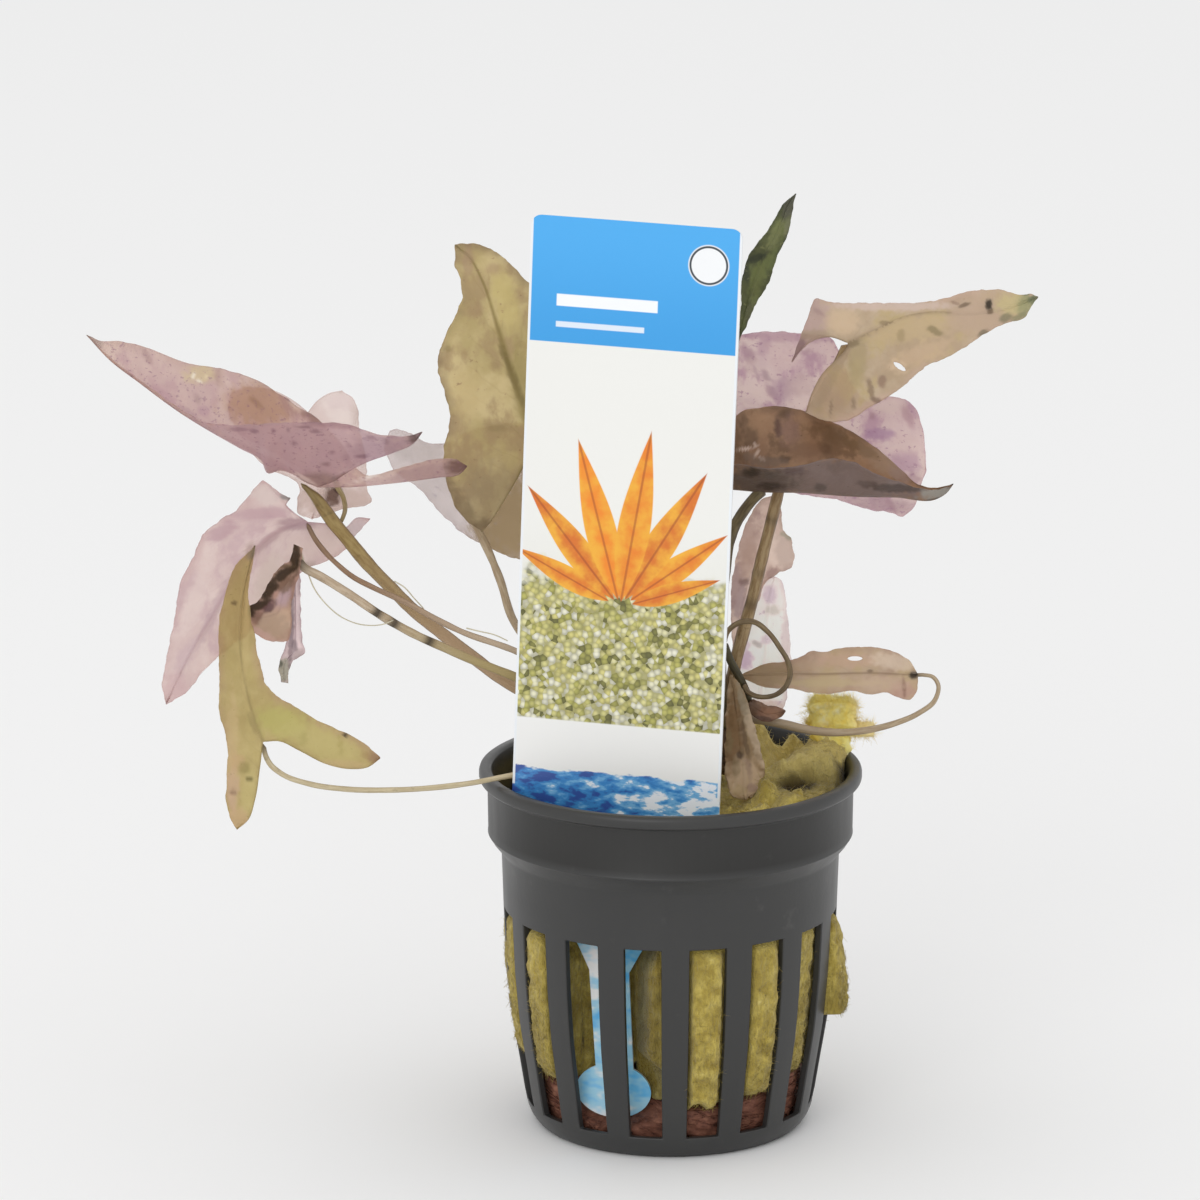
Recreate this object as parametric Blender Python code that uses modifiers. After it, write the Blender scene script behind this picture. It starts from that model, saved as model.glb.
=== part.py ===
"""Potted red tiger lotus: a net pot filled with mineral wool, a stake label and a plant in it.

Lengths here are millimetres, turned into metres where a mesh is made. +Z is up, the origin is the
centre of the pot's base, and -Y is the front. Leaves and stalks are laid out as they are seen from
the front: a spot is a pixel across and down in the 1200 x 1200 photograph, and a depth in
millimetres along Y, which seen() turns into a place.
"""

import math

import bmesh
import bpy
import numpy as np
from mathutils import Matrix, Vector

MM = 0.001
GAP = 0.3

# Driving dimensions of the pot
POT_HEIGHT = 52.8
RIM_RADIUS = 27.5
MOUTH_RADIUS = 25.7
LIP_DEPTH = 1.9
LIP_ROUND = 0.4
FLOOR = 1.1
POT_SIDE = (
    (18.2, 0.0),
    (19.5, 0.6),
    (20.6, 2.2),
    (21.3, 6.0),
    (22.3, 13.0),
    (23.4, 22.0),
    (24.0, 31.0),
    (24.3, 40.8),
    (26.0, 42.8),
    (26.3, 44.0),
    (26.4, 50.7),
)
POT_INSIDE = (
    (18.0, 1.1),
    (19.6, 2.6),
    (20.3, 6.5),
    (22.2, 20.0),
    (22.9, 31.0),
    (23.2, 41.0),
    (25.1, 43.0),
    (25.4, 44.0),
)
TURN_STEPS = 48
SLOTS = 16
SLOT_ANGLE = math.radians(12.9)
SLOT_OFFSET = math.radians(1.3)
SLOT_FOOT = 3.4
SLOT_HEAD = 32.3
DRAINS = 8
DRAIN_LENGTH = 8.0
DRAIN_WIDTH = 2.0
DRAIN_MIDDLE = 11.0

# Driving dimensions of the label
LABEL_WIDTH = 30.0
LABEL_TOP = 82.3
LABEL_THICK = 0.5
LABEL_CORNER = 1.5
LABEL_NECK = 5.5
LABEL_SIDE = ((0.0, -5.5), (-3.8, -9.5), (-6.6, -16.5), (-10.4, -23.1), (-12.1, -26.5))
LABEL_FOOT_SIZE = (5.45, 4.0)
LABEL_FOOT_AT = (1.3, -44.2)
LABEL_PLACE = (-7.84, -13.8, 52.8)
LABEL_YAW = math.radians(12.0)
LABEL_BACK = math.radians(0.77)
LABEL_TILT = math.radians(1.9)

# The eye that the spots are read from
EYE = (-10.1, -1000.0, 334.8)
EYE_PITCH = math.radians(14.44)
EYE_FOCUS = 7237.0
EYE_MIDDLE = 600.0

# The plant
LEAF_THICK = 0.45
LEAF_ROUGHNESS = 0.5
MAUVE = (0.47, 0.3, 0.33)
PALE_PINK = (0.68, 0.52, 0.5)
OLIVE = (0.4, 0.34, 0.13)
TAN = (0.46, 0.34, 0.22)
RED_BROWN = (0.18, 0.09, 0.05)
DARK_GREEN = (0.07, 0.09, 0.03)
OLIVE_STALK = (0.22, 0.17, 0.07)
PURPLE_STALK = (0.16, 0.09, 0.07)
TAN_STALK = (0.3, 0.2, 0.11)
DARK_STALK = (0.09, 0.05, 0.03)
CROWN_PLACE = (7.2, 3.0, 54.2)
CROWN_RADIUS = 3.4
CROWN_HALF_HEIGHT = 3.6

# The wool: how far each pad stands out of its slot and where it ends, from the front to the right
WOOL_TOP = 49.0
WOOL_PROUD = (0.5, 0.6, 0.6, 1.9, 0.6, 0.5, 0.5, 0.6, 0.5, 0.6, 0.5, 0.6, 1.0, 0.7, 0.4, 0.4)
WOOL_FOOT = (8.0, 8.8, 10.5, 17.0, 10.5, 9.5, 9.0, 10.0, 11.0, 9.5, 9.0, 10.5, 11.5, 9.6, 13.3, 8.3)
MAT_HIGHEST = 12.0
TUFT_PLACE = (23.6, 8.0, 58.2)
TUFT_SIZE = (6.4, 4.6, 3.5)
TUFT_LEAN = 1.8
MAT_FOOT = FLOOR + GAP


def material(name, colour, roughness=0.6):
    made = bpy.data.materials.new(name)
    made.use_nodes = True
    shader = made.node_tree.nodes["Principled BSDF"]
    shader.inputs["Base Color"].default_value = (*colour, 1.0)
    shader.inputs["Roughness"].default_value = roughness
    made.diffuse_color = (*colour, 1.0)
    return made


def collection(name, hidden=False):
    made = bpy.data.collections.new(name)
    made.hide_render = hidden
    bpy.context.scene.collection.children.link(made)
    return made


def mesh_object(name, points, faces, group, finish=None):
    """A smooth mesh object from points in millimetres, with its doubles merged."""
    work = bmesh.new()
    made = [work.verts.new(Vector(p) * MM) for p in points]
    for face in faces:
        work.faces.new([made[i] for i in face])
    bmesh.ops.remove_doubles(work, verts=work.verts, dist=0.01 * MM)
    bmesh.ops.dissolve_degenerate(work, edges=work.edges, dist=0.005 * MM)
    bmesh.ops.recalc_face_normals(work, faces=work.faces)
    data = bpy.data.meshes.new(name)
    work.to_mesh(data)
    work.free()
    data.shade_smooth()
    data.set_sharp_from_angle(angle=math.radians(40))
    made = bpy.data.objects.new(name, data)
    if finish:
        data.materials.append(finish)
    group.objects.link(made)
    return made


def seen(across, down, depth):
    """The place at this depth along Y that shows at this pixel of the front view."""
    ahead = Vector((0, math.cos(EYE_PITCH), -math.sin(EYE_PITCH)))
    upward = Vector((0, math.sin(EYE_PITCH), math.cos(EYE_PITCH)))
    sight = ahead + Vector((1, 0, 0)) * ((across - EYE_MIDDLE) / EYE_FOCUS)
    sight -= upward * ((down - EYE_MIDDLE) / EYE_FOCUS)
    eye = Vector(EYE)
    return eye + sight * ((depth - eye.y) / sight.y)


def smooth_curve(points, ratios):
    """Places on a smooth curve through the points, at these shares of its chord length."""
    at = np.array([tuple(p) for p in points], float)
    knots = np.concatenate([[0], np.cumsum(np.linalg.norm(np.diff(at, axis=0), axis=1))])
    knots /= knots[-1]
    slopes = np.gradient(at, knots, axis=0)
    ratios = np.asarray(ratios, float)
    span = np.clip(np.searchsorted(knots, ratios, "right") - 1, 0, len(knots) - 2)
    width = (knots[span + 1] - knots[span])[:, None]
    t = (ratios[:, None] - knots[span][:, None]) / width
    start = at[span] * (2 * t**3 - 3 * t**2 + 1) + slopes[span] * width * (t**3 - 2 * t**2 + t)
    return start + at[span + 1] * (3 * t**2 - 2 * t**3) + slopes[span + 1] * width * (t**3 - t**2)


def knot_share(points, index):
    """How far along the curve's chord length the point with this index lies, from 0 to 1."""
    at = np.array([tuple(p) for p in points], float)
    steps = np.linalg.norm(np.diff(at, axis=0), axis=1)
    return steps[:index].sum() / steps.sum()


def lathe(name, rings, group, finish):
    """A closed body from rings of equally many places, between a first and a last single place."""
    count = len(rings[1])
    points = [rings[0][0]] + [p for ring in rings[1:-1] for p in ring] + [rings[-1][0]]
    last = len(points) - 1
    faces = [(0, 1 + (i + 1) % count, 1 + i) for i in range(count)]
    for row in range(len(rings) - 3):
        low = 1 + row * count
        for i in range(count):
            j = (i + 1) % count
            faces.append((low + i, low + j, low + count + j, low + count + i))
    top = last - count
    faces += [(last, top + i, top + (i + 1) % count) for i in range(count)]
    return mesh_object(name, points, faces, group, finish)


def around(angle, radius, height):
    """A place at this angle from the front towards the right, round the pot's axis."""
    return (radius * math.sin(angle), -radius * math.cos(angle), height)


def pot_radius(height):
    radii, heights = zip(*POT_SIDE)
    return float(np.interp(height, heights, radii))


def inside_radius(height):
    radii, heights = zip(*POT_INSIDE)
    return float(np.interp(height, heights, radii)) - GAP


def apply_cut(target, cutter, name):
    cut = target.modifiers.new(name, "BOOLEAN")
    cut.object = cutter
    cut.operation = "DIFFERENCE"
    cut.solver = "EXACT"


def as_cutter(made):
    made.hide_render = True
    made.display_type = "WIRE"
    return made


def join_cutters(name, pieces, group):
    """One mesh of separate closed pieces, each given as a mesh in place."""
    work = bmesh.new()
    for piece in pieces:
        work.from_mesh(piece)
        bpy.data.meshes.remove(piece)
    data = bpy.data.meshes.new(name)
    work.to_mesh(data)
    work.free()
    made = bpy.data.objects.new(name, data)
    group.objects.link(made)
    return as_cutter(made)


def block(size, matrix):
    work = bmesh.new()
    bmesh.ops.create_cube(work, size=1.0)
    bmesh.ops.scale(work, vec=Vector(size) * MM, verts=work.verts)
    bmesh.ops.transform(work, matrix=matrix, verts=work.verts)
    data = bpy.data.meshes.new("block")
    work.to_mesh(data)
    work.free()
    return data


def slot_cutter(group):
    """Sixteen wedges through the wall, each as wide as the slot at every radius."""
    pieces = []
    near, far = 0.6 * RIM_RADIUS, 1.2 * RIM_RADIUS
    for slot in range(SLOTS):
        middle = SLOT_OFFSET + (slot + 0.5) * math.tau / SLOTS
        work = bmesh.new()
        corners = [
            work.verts.new(Vector(around(middle + side * SLOT_ANGLE / 2, radius, height)) * MM)
            for height in (SLOT_FOOT, SLOT_HEAD)
            for radius, side in ((near, -1), (far, -1), (far, 1), (near, 1))
        ]
        work.faces.new(corners[3::-1])
        work.faces.new(corners[4:])
        for i in range(4):
            j = (i + 1) % 4
            work.faces.new((corners[i], corners[j], corners[j + 4], corners[i + 4]))
        bmesh.ops.recalc_face_normals(work, faces=work.faces)
        data = bpy.data.meshes.new("slot")
        work.to_mesh(data)
        work.free()
        pieces.append(data)
    return join_cutters("slot_cutter", pieces, group)


def drain_cutter(group):
    pieces = []
    for drain in range(DRAINS):
        turn = Matrix.Rotation(math.tau * (drain + 0.5) / DRAINS, 4, "Z")
        out = Matrix.Translation(Vector((DRAIN_MIDDLE, 0, 0)) * MM)
        pieces.append(block((DRAIN_LENGTH, DRAIN_WIDTH, 4 * FLOOR), turn @ out))
    return join_cutters("drain_cutter", pieces, group)


def make_pot(group, cutters):
    """The wall and floor are one turned profile, down the outside and back up the inside."""
    profile = [(MOUTH_RADIUS, POT_HEIGHT), (RIM_RADIUS - LIP_ROUND, POT_HEIGHT),
        (RIM_RADIUS, POT_HEIGHT - LIP_ROUND)]
    profile += [(RIM_RADIUS, POT_HEIGHT - LIP_DEPTH + LIP_ROUND),
        (RIM_RADIUS - LIP_ROUND, POT_HEIGHT - LIP_DEPTH)]
    profile += list(reversed(POT_SIDE)) + [(0.0, 0.0), (0.0, FLOOR)] + list(POT_INSIDE)
    work = bmesh.new()
    corners = [work.verts.new(Vector((radius, 0, height)) * MM) for radius, height in profile]
    for i, corner in enumerate(corners):
        following = corners[(i + 1) % len(corners)]
        if corner.co.x > 0 or following.co.x > 0:
            work.edges.new((corner, following))
    data = bpy.data.meshes.new("pot")
    work.to_mesh(data)
    work.free()
    pot = bpy.data.objects.new("pot", data)
    data.materials.append(material("dark_grey_plastic", (0.06, 0.06, 0.06), 0.4))
    turn = pot.modifiers.new("turn", "SCREW")
    turn.steps = turn.render_steps = TURN_STEPS
    turn.use_merge_vertices = True
    turn.merge_threshold = 0.00001
    turn.use_smooth_shade = True
    group.objects.link(pot)
    apply_cut(pot, slot_cutter(cutters), "slots")
    apply_cut(pot, drain_cutter(cutters), "drains")


def label_matrix():
    turn = Matrix.Rotation(-LABEL_YAW, 4, "Z") @ Matrix.Rotation(math.pi / 2 - LABEL_BACK, 4, "X")
    return Matrix.Translation(Vector(LABEL_PLACE) * MM) @ turn @ Matrix.Rotation(-LABEL_TILT, 4, "Z")


def label_outline(grow=0.0):
    """The label's edge, anticlockwise: round its foot, up the right side and over the top."""
    half, top = LABEL_WIDTH / 2 + grow, LABEL_TOP + grow
    foot_across, foot_up = LABEL_FOOT_SIZE[0] + grow, LABEL_FOOT_SIZE[1] + grow
    neck = LABEL_NECK / 2 + grow
    reach = math.acos(neck / foot_across)
    turns = np.linspace(reach - math.tau - 2 * (reach - math.pi / 2), reach, 15)
    outline = [(LABEL_FOOT_AT[0] + foot_across * math.cos(t),
        LABEL_FOOT_AT[1] + foot_up * math.sin(t)) for t in turns]
    side = [(half + in_by, up) for in_by, up in LABEL_SIDE]
    outline += list(reversed(side))
    for x, start in ((half - LABEL_CORNER, 0.0), (LABEL_CORNER - half, math.pi / 2)):
        for turn in np.linspace(start, start + math.pi / 2, 4):
            outline.append((x + LABEL_CORNER * math.cos(turn),
                top - LABEL_CORNER + LABEL_CORNER * math.sin(turn)))
    return outline + [(-across, up) for across, up in side]


def flat_plate(name, outline, low, high, group):
    """A flat outline, as thick as from low to high along its normal, stood where the label is."""
    curve = bpy.data.curves.new(name, "CURVE")
    curve.dimensions = "2D"
    curve.fill_mode = "BOTH"
    curve.extrude = (high - low) / 2 * MM
    edge = curve.splines.new("POLY")
    edge.points.add(len(outline) - 1)
    for point, (x, y) in zip(edge.points, outline):
        point.co = (x * MM, y * MM, 0, 1)
    edge.use_cyclic_u = True
    made = bpy.data.objects.new(name, curve)
    made.matrix_world = label_matrix() @ Matrix.Translation((0, 0, (low + high) / 2 * MM))
    group.objects.link(made)
    return made


def as_mesh(made, group):
    """The curve as a welded mesh object in the same place and of the same name."""
    name, place = made.name, made.matrix_world.copy()
    bpy.context.view_layer.update()
    graph = bpy.context.evaluated_depsgraph_get()
    data = bpy.data.meshes.new_from_object(made.evaluated_get(graph))
    bpy.data.objects.remove(made)
    work = bmesh.new()
    work.from_mesh(data)
    bmesh.ops.remove_doubles(work, verts=work.verts, dist=0.001 * MM)
    bmesh.ops.recalc_face_normals(work, faces=work.faces)
    work.to_mesh(data)
    work.free()
    welded = bpy.data.objects.new(name, data)
    welded.matrix_world = place
    group.objects.link(welded)
    return welded


def make_label(group, cutters):
    plate = flat_plate("label", label_outline(), -LABEL_THICK / 2, LABEL_THICK / 2, group)
    plate.data.materials.append(material("printed_plastic", (0.75, 0.8, 0.85), 0.3))
    slit = flat_plate("label_cutter", label_outline(GAP), -LABEL_THICK / 2 - GAP, 14.0, cutters)
    return as_cutter(as_mesh(slit, cutters))


def wool_columns():
    """(angle, slot, whether in the pad) for the columns of the wool, four to a slot."""
    clear = GAP / POT_SIDE[5][0]
    for slot in range(SLOTS):
        middle = SLOT_OFFSET + (slot + 0.5) * math.tau / SLOTS
        edge = SLOT_ANGLE / 2 - clear
        for angle, in_pad in ((-edge - 0.01, False), (-edge, True), (edge, True), (edge + 0.01, False)):
            yield middle + angle, slot, in_pad


def wool_surface(angle, radius):
    """Height of the wool's top: a mound on the right, a groove before it and a hollow behind."""
    x, y, _ = around(angle, radius, 0)
    mound = 5.2 * math.exp(-(((x - 20.0) / 5.0) ** 2) - ((y - 7.5) / 5.5) ** 2)
    groove = -1.8 * math.exp(-(((x - 15.0) / 8.0) ** 2) - ((y + 12.0) / 2.4) ** 2)
    hollow = -2.5 * math.exp(-(((x + 15.0) / 9.0) ** 2) - ((y - 6.0) / 10.0) ** 2)
    return WOOL_TOP + mound + groove + hollow


def make_wool(group, slit):
    columns = list(wool_columns())
    bottom = WOOL_FOOT
    head = SLOT_HEAD - GAP
    rings = [[(0, 0, min(bottom) - 0.4)]]
    rings.append([around(a, 0.6 * inside_radius(bottom[s]), bottom[s] - 0.4) for a, s, _ in columns])
    rings.append([around(a, inside_radius(bottom[s]), bottom[s] - 0.25) for a, s, _ in columns])
    for share in (0.0, 0.35, 0.7, 1.0):
        ring = []
        for angle, slot, in_pad in columns:
            height = bottom[slot] + (head - bottom[slot]) * share
            bulge = WOOL_PROUD[slot] * (0.35 + 2.6 * share * (1 - share))
            ring.append(around(angle, pot_radius(height) + bulge if in_pad else inside_radius(height),
                height))
        rings.append(ring)
    for height in (head + 0.15, 41.0, 43.0, 44.0):
        rings.append([around(a, inside_radius(height), height) for a, _, _ in columns])
    for share in (1.0, 0.78, 0.5, 0.24):
        radius = inside_radius(WOOL_TOP) * share
        rings.append([around(a, radius, wool_surface(a, radius)) for a, _, _ in columns])
    rings.append([(0, 0, wool_surface(0, 0))])
    wool = lathe("wool", rings, group, material("mineral_wool", (0.42, 0.34, 0.1), 0.95))
    apply_cut(wool, slit, "label_slit")


def make_mat(group, slit):
    angles = [SLOT_OFFSET + i * math.tau / (2 * SLOTS) for i in range(2 * SLOTS)]
    edge = []
    for i in range(2 * SLOTS):
        slot = (i // 2) % SLOTS
        top = WOOL_FOOT[slot] if i % 2 else min(WOOL_FOOT[slot], WOOL_FOOT[slot - 1])
        edge.append(min(top, MAT_HIGHEST) - 0.25 - 2 * GAP)
    low = min(edge) - 0.3
    rings = [[(0, 0, MAT_FOOT)]]
    rings.append([around(a, inside_radius(FLOOR) - 1.4, MAT_FOOT) for a in angles])
    rings.append([around(a, inside_radius(3.0), 3.0) for a in angles])
    rings.append([around(a, inside_radius(6.0), 6.0) for a in angles])
    rings.append([around(a, inside_radius(z) - 0.1, z) for a, z in zip(angles, edge)])
    rings.append([around(a, 0.55 * inside_radius(z), min(edge) - 0.2) for a, z in zip(angles, edge)])
    rings.append([(0, 0, low)])
    mat = lathe("root_mat", rings, group, material("red_roots", (0.12, 0.04, 0.025), 0.9))
    apply_cut(mat, slit, "label_slit")


def make_tuft(group):
    """A torn lump, wider than it is high, that laps over the rim on the right."""
    centre = Vector(TUFT_PLACE)
    rings = [[centre - Vector((TUFT_LEAN, 0, TUFT_SIZE[2]))]]
    for rise in (-60, -25, 10, 45):
        ring = []
        for i in range(12):
            turn = math.tau * i / 12
            swell = 1 + 0.16 * math.sin(3 * turn + rise) + 0.08 * math.cos(5 * turn + 2)
            flat = math.cos(math.radians(rise)) * swell
            offset = (
                TUFT_SIZE[0] * flat * math.cos(turn) + TUFT_LEAN * math.sin(math.radians(min(rise, 0))),
                TUFT_SIZE[1] * flat * math.sin(turn),
                TUFT_SIZE[2] * math.sin(math.radians(rise)) * (1 + 0.15 * math.sin(2 * turn)),
            )
            ring.append(centre + Vector(offset))
        rings.append(ring)
    rings.append([centre + Vector((-0.8, 0, TUFT_SIZE[2]))])
    lathe("wool_tuft", rings, group, material("pale_wool", (0.6, 0.5, 0.14), 0.95))


def make_crown(group):
    centre = Vector(CROWN_PLACE)
    rings = [[centre - Vector((0, 0, CROWN_HALF_HEIGHT))]]
    for rise in (-55, -20, 20, 55):
        flat = CROWN_RADIUS * math.cos(math.radians(rise))
        height = CROWN_HALF_HEIGHT * math.sin(math.radians(rise))
        turns = [math.tau * i / 14 for i in range(14)]
        rings.append([centre + Vector((flat * math.cos(t), flat * math.sin(t), height)) for t in turns])
    rings.append([centre + Vector((0, 0, CROWN_HALF_HEIGHT))])
    lathe("crown", rings, group, material("rootstock", (0.1, 0.06, 0.035), 0.9))


def blade_rows(inner, outer, columns):
    """Rows of places along two edge curves, with columns from the inner to the outer one."""
    share = np.linspace(0, 1, columns + 1)[None, :, None]
    return inner[:, None] * (1 - share) + outer[:, None] * share


def half_blade(sinus, midrib, margin, split, rows=(2, 5), columns=2):
    """Half of an arrow-shaped blade, from the tip of its basal lobe to the tip of the leaf.

    sinus runs from the lobe's tip to the base, midrib from the base to the leaf's tip, and margin
    from the lobe's tip round the outside to the leaf's tip. split is the index of the margin's
    point that lies level with the base.
    """
    level = knot_share(margin, split)
    beyond = np.linspace(level, 1, rows[1] + 1)[1:]
    shares = np.concatenate([np.linspace(0, level, rows[0] + 1), beyond])
    outer = smooth_curve(margin, shares)
    lobe = smooth_curve(sinus, np.linspace(0, 1, rows[0] + 1))
    rib = smooth_curve(midrib, np.linspace(0, 1, rows[1] + 1))
    return blade_rows(np.concatenate([lobe, rib[1:]]), outer, columns)


def ribbon(left, right, rows=7, columns=2):
    """A leaf without lobes: the strip between its left and right edges, both from the base to the tip."""
    shares = np.linspace(0, 1, rows + 1)
    return blade_rows(smooth_curve(left, shares), smooth_curve(right, shares), columns)


def leaf(name, grids, group, colour):
    """A leaf blade of one or more grids of places that share an edge, given its thickness."""
    points, faces = [], []
    for grid in grids:
        rows, columns = grid.shape[:2]
        first = len(points)
        points += [tuple(p) for p in grid.reshape(-1, 3)]
        for i in range(rows - 1):
            for j in range(columns - 1):
                corner = first + i * columns + j
                faces.append((corner, corner + 1, corner + columns + 1, corner + columns))
    made = mesh_object(name, points, faces, group, material(name, colour, LEAF_ROUGHNESS))
    shell = made.modifiers.new("thickness", "SOLIDIFY")
    shell.thickness = LEAF_THICK * MM
    shell.offset = 0.0
    return made


def stalk(name, places, radii, group, colour, points=11):
    """A round stalk along a smooth curve through the places, its radius changing evenly."""
    shares = np.linspace(0, 1, points)
    path = smooth_curve(places, shares)
    curve = bpy.data.curves.new(name, "CURVE")
    curve.dimensions = "3D"
    curve.bevel_depth = MM
    curve.bevel_resolution = 2
    curve.use_fill_caps = True
    line = curve.splines.new("POLY")
    line.points.add(points - 1)
    for point, place, share in zip(line.points, path, shares):
        point.co = (*(Vector(place) * MM), 1)
        point.radius = radii[0] + (radii[1] - radii[0]) * share
    made = bpy.data.objects.new(name, curve)
    curve.materials.append(material(name, colour, LEAF_ROUGHNESS))
    group.objects.link(made)
    return made


def spots(*given):
    return [seen(*spot) for spot in given]


def port(turn, rise, out=0.6):
    """A place just off the crown, this far round it from the right towards the back, and up."""
    turn, rise = math.radians(turn), math.radians(rise)
    flat = (CROWN_RADIUS + out) * math.cos(rise)
    height = (CROWN_HALF_HEIGHT + out) * math.sin(rise)
    return Vector(CROWN_PLACE) + Vector((flat * math.cos(turn), flat * math.sin(turn), height))


def make_left_leaves(group):
    tip, base = (88, 336, -13), (318, 486, -8)
    keel = spots(
        base, (290, 472, -8.5), (260, 456, -9), (215, 431, -10), (175, 409, -11), (140, 381, -12), tip,
    )
    near = half_blade(
        spots(
            (422, 432, -15), (405, 446, -13.5), (380, 456, -12), (355, 468, -10), (332, 481, -8.5),
            base,
        ),
        keel,
        spots(
            (422, 432, -15), (400, 436, -15.5), (370, 434, -15.5), (345, 425, -15), (300, 422, -15),
            (250, 424, -14.5), (218, 419, -14), (180, 392, -13.5), (140, 362, -13.3), tip,
        ),
        4, rows=(2, 6),
    )
    far = half_blade(
        spots((467, 466, -3.5), (445, 477, -4), (418, 481, -5), (383, 484, -6), (345, 486, -7.2), base),
        keel,
        spots(
            (467, 466, -3.5), (455, 458, -3), (431, 459, -2.5), (395, 468, -2.5), (368, 474, -2),
            (338, 440, -1), (320, 420, -1), (280, 392, -2), (250, 376, -3.5), (200, 366, -6),
            (150, 350, -9.5), (115, 342, -11.5), tip,
        ),
        5, rows=(3, 6),
    )
    leaf("leaf_left_arrow", [near, far], group, MAUVE)

    notch, point = (308, 412, 8), (312, 517, 1)
    middle = spots(notch, (321, 447, 5.5), (322, 485, 3), point)
    left = half_blade(
        spots((244, 388, 9), (272, 391, 9), (294, 401, 8.5), notch),
        middle,
        spots(
            (244, 388, 9), (230, 400, 9), (234, 425, 8), (250, 455, 6), (268, 474, 5), (297, 490, 2.5),
            (299, 508, 1.5), point,
        ),
        2, rows=(2, 4),
    )
    right = half_blade(
        spots((342, 391, 9), (330, 393, 9), (318, 400, 8.5), notch),
        middle,
        spots(
            (342, 391, 9), (354, 400, 9), (358, 428, 7.5), (366, 460, 5.5), (371, 500, 3),
            (347, 508, 1.5), (325, 514, 1), point,
        ),
        2, rows=(2, 4),
    )
    leaf("leaf_left_round", [left, right], group, PALE_PINK)

    base, tip = (308, 522, -10), (166, 703, -13)
    rib = spots(base, (272, 531, -11.5), (240, 560, -12.5), (214, 612, -13), (190, 655, -13), tip)
    upper = half_blade(
        spots((290, 498, -6), (283, 505, -7.5), (294, 515, -9), base),
        rib,
        spots(
            (290, 498, -6), (275, 491, -5), (262, 481, -4.5), (254, 496, -5.5), (238, 511, -7),
            (220, 522, -8), (202, 537, -9), (193, 560, -9.5), (181, 582, -10), (174, 620, -10.5),
            (167, 656, -11.5), (162, 688, -12.5), tip,
        ),
        4,
    )
    lower = half_blade(
        spots((370, 519, -2.5), (357, 518, -3), (345, 528, -4.5), (328, 524, -7), base),
        rib,
        spots(
            (370, 519, -2.5), (356, 535, -3), (345, 550, -4), (325, 561, -6), (308, 568, -8),
            (288, 582, -10.5), (270, 604, -13), (250, 632, -14), (225, 658, -14), (205, 675, -13.8),
            (185, 696, -13.3), tip,
        ),
        4,
    )
    leaf("leaf_left_drooping", [upper, lower], group, PALE_PINK)

    base, tip = (263, 742, -21.5), (255, 546, -25)
    rib = spots(base, (251, 708, -22.5), (241, 662, -23), (239, 618, -23.5), (247, 575, -24.2), tip)
    left = half_blade(
        spots((237, 829, -24), (248, 818, -24), (255, 800, -23.5), (259, 774, -22.5), base),
        rib,
        spots(
            (237, 829, -24), (230, 816, -24.5), (227, 795, -24.5), (228, 770, -24.5),
            (226, 740, -24.5), (220, 715, -25), (219, 660, -25), (218, 625, -25), (224, 603, -25),
            (232, 577, -25), (242, 558, -25), tip,
        ),
        4, rows=(3, 5),
    )
    right = half_blade(
        spots(
            (380, 758, -17), (368, 767, -17.5), (350, 769, -18), (328, 766, -19), (300, 754, -20),
            (278, 743, -21), base,
        ),
        rib,
        spots(
            (380, 758, -17), (370, 745, -17), (350, 735, -17.5), (320, 722, -18.5), (290, 702, -20),
            (268, 688, -21.5), (261, 668, -22.5), (256, 640, -23.5), (250, 615, -24),
            (249, 590, -24.5), (253, 568, -24.8), tip,
        ),
        4, rows=(3, 5),
    )
    leaf("leaf_left_olive", [left, right], group, OLIVE)

    fold = spots(
        (296, 545, -19), (291, 564, -18), (272, 583, -18.3), (262, 600, -18.5), (249, 611, -19.5),
    )
    hem = spots(
        (299, 560, -16.2), (293, 590, -16.3), (291, 622, -16.5), (276, 641, -17), (256, 634, -18),
        (249, 611, -19.5),
    )
    leaf("leaf_left_crumpled", [ribbon(fold, hem, rows=6)], group, RED_BROWN)

    inner = spots(
        (290, 574, -15.4), (291, 605, -15.2), (289, 632, -15), (284, 652, -15), (280, 664, -15),
        (281, 682, -15),
    )
    outer = spots(
        (300, 574, -14.2), (300, 605, -13.8), (301, 632, -13.8), (304, 650, -14), (296, 663, -14.6),
        (289, 683, -14.8),
    )
    leaf("leaf_left_crumpled_fold", [ribbon(inner, outer, rows=6)], group, MAUVE)


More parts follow.
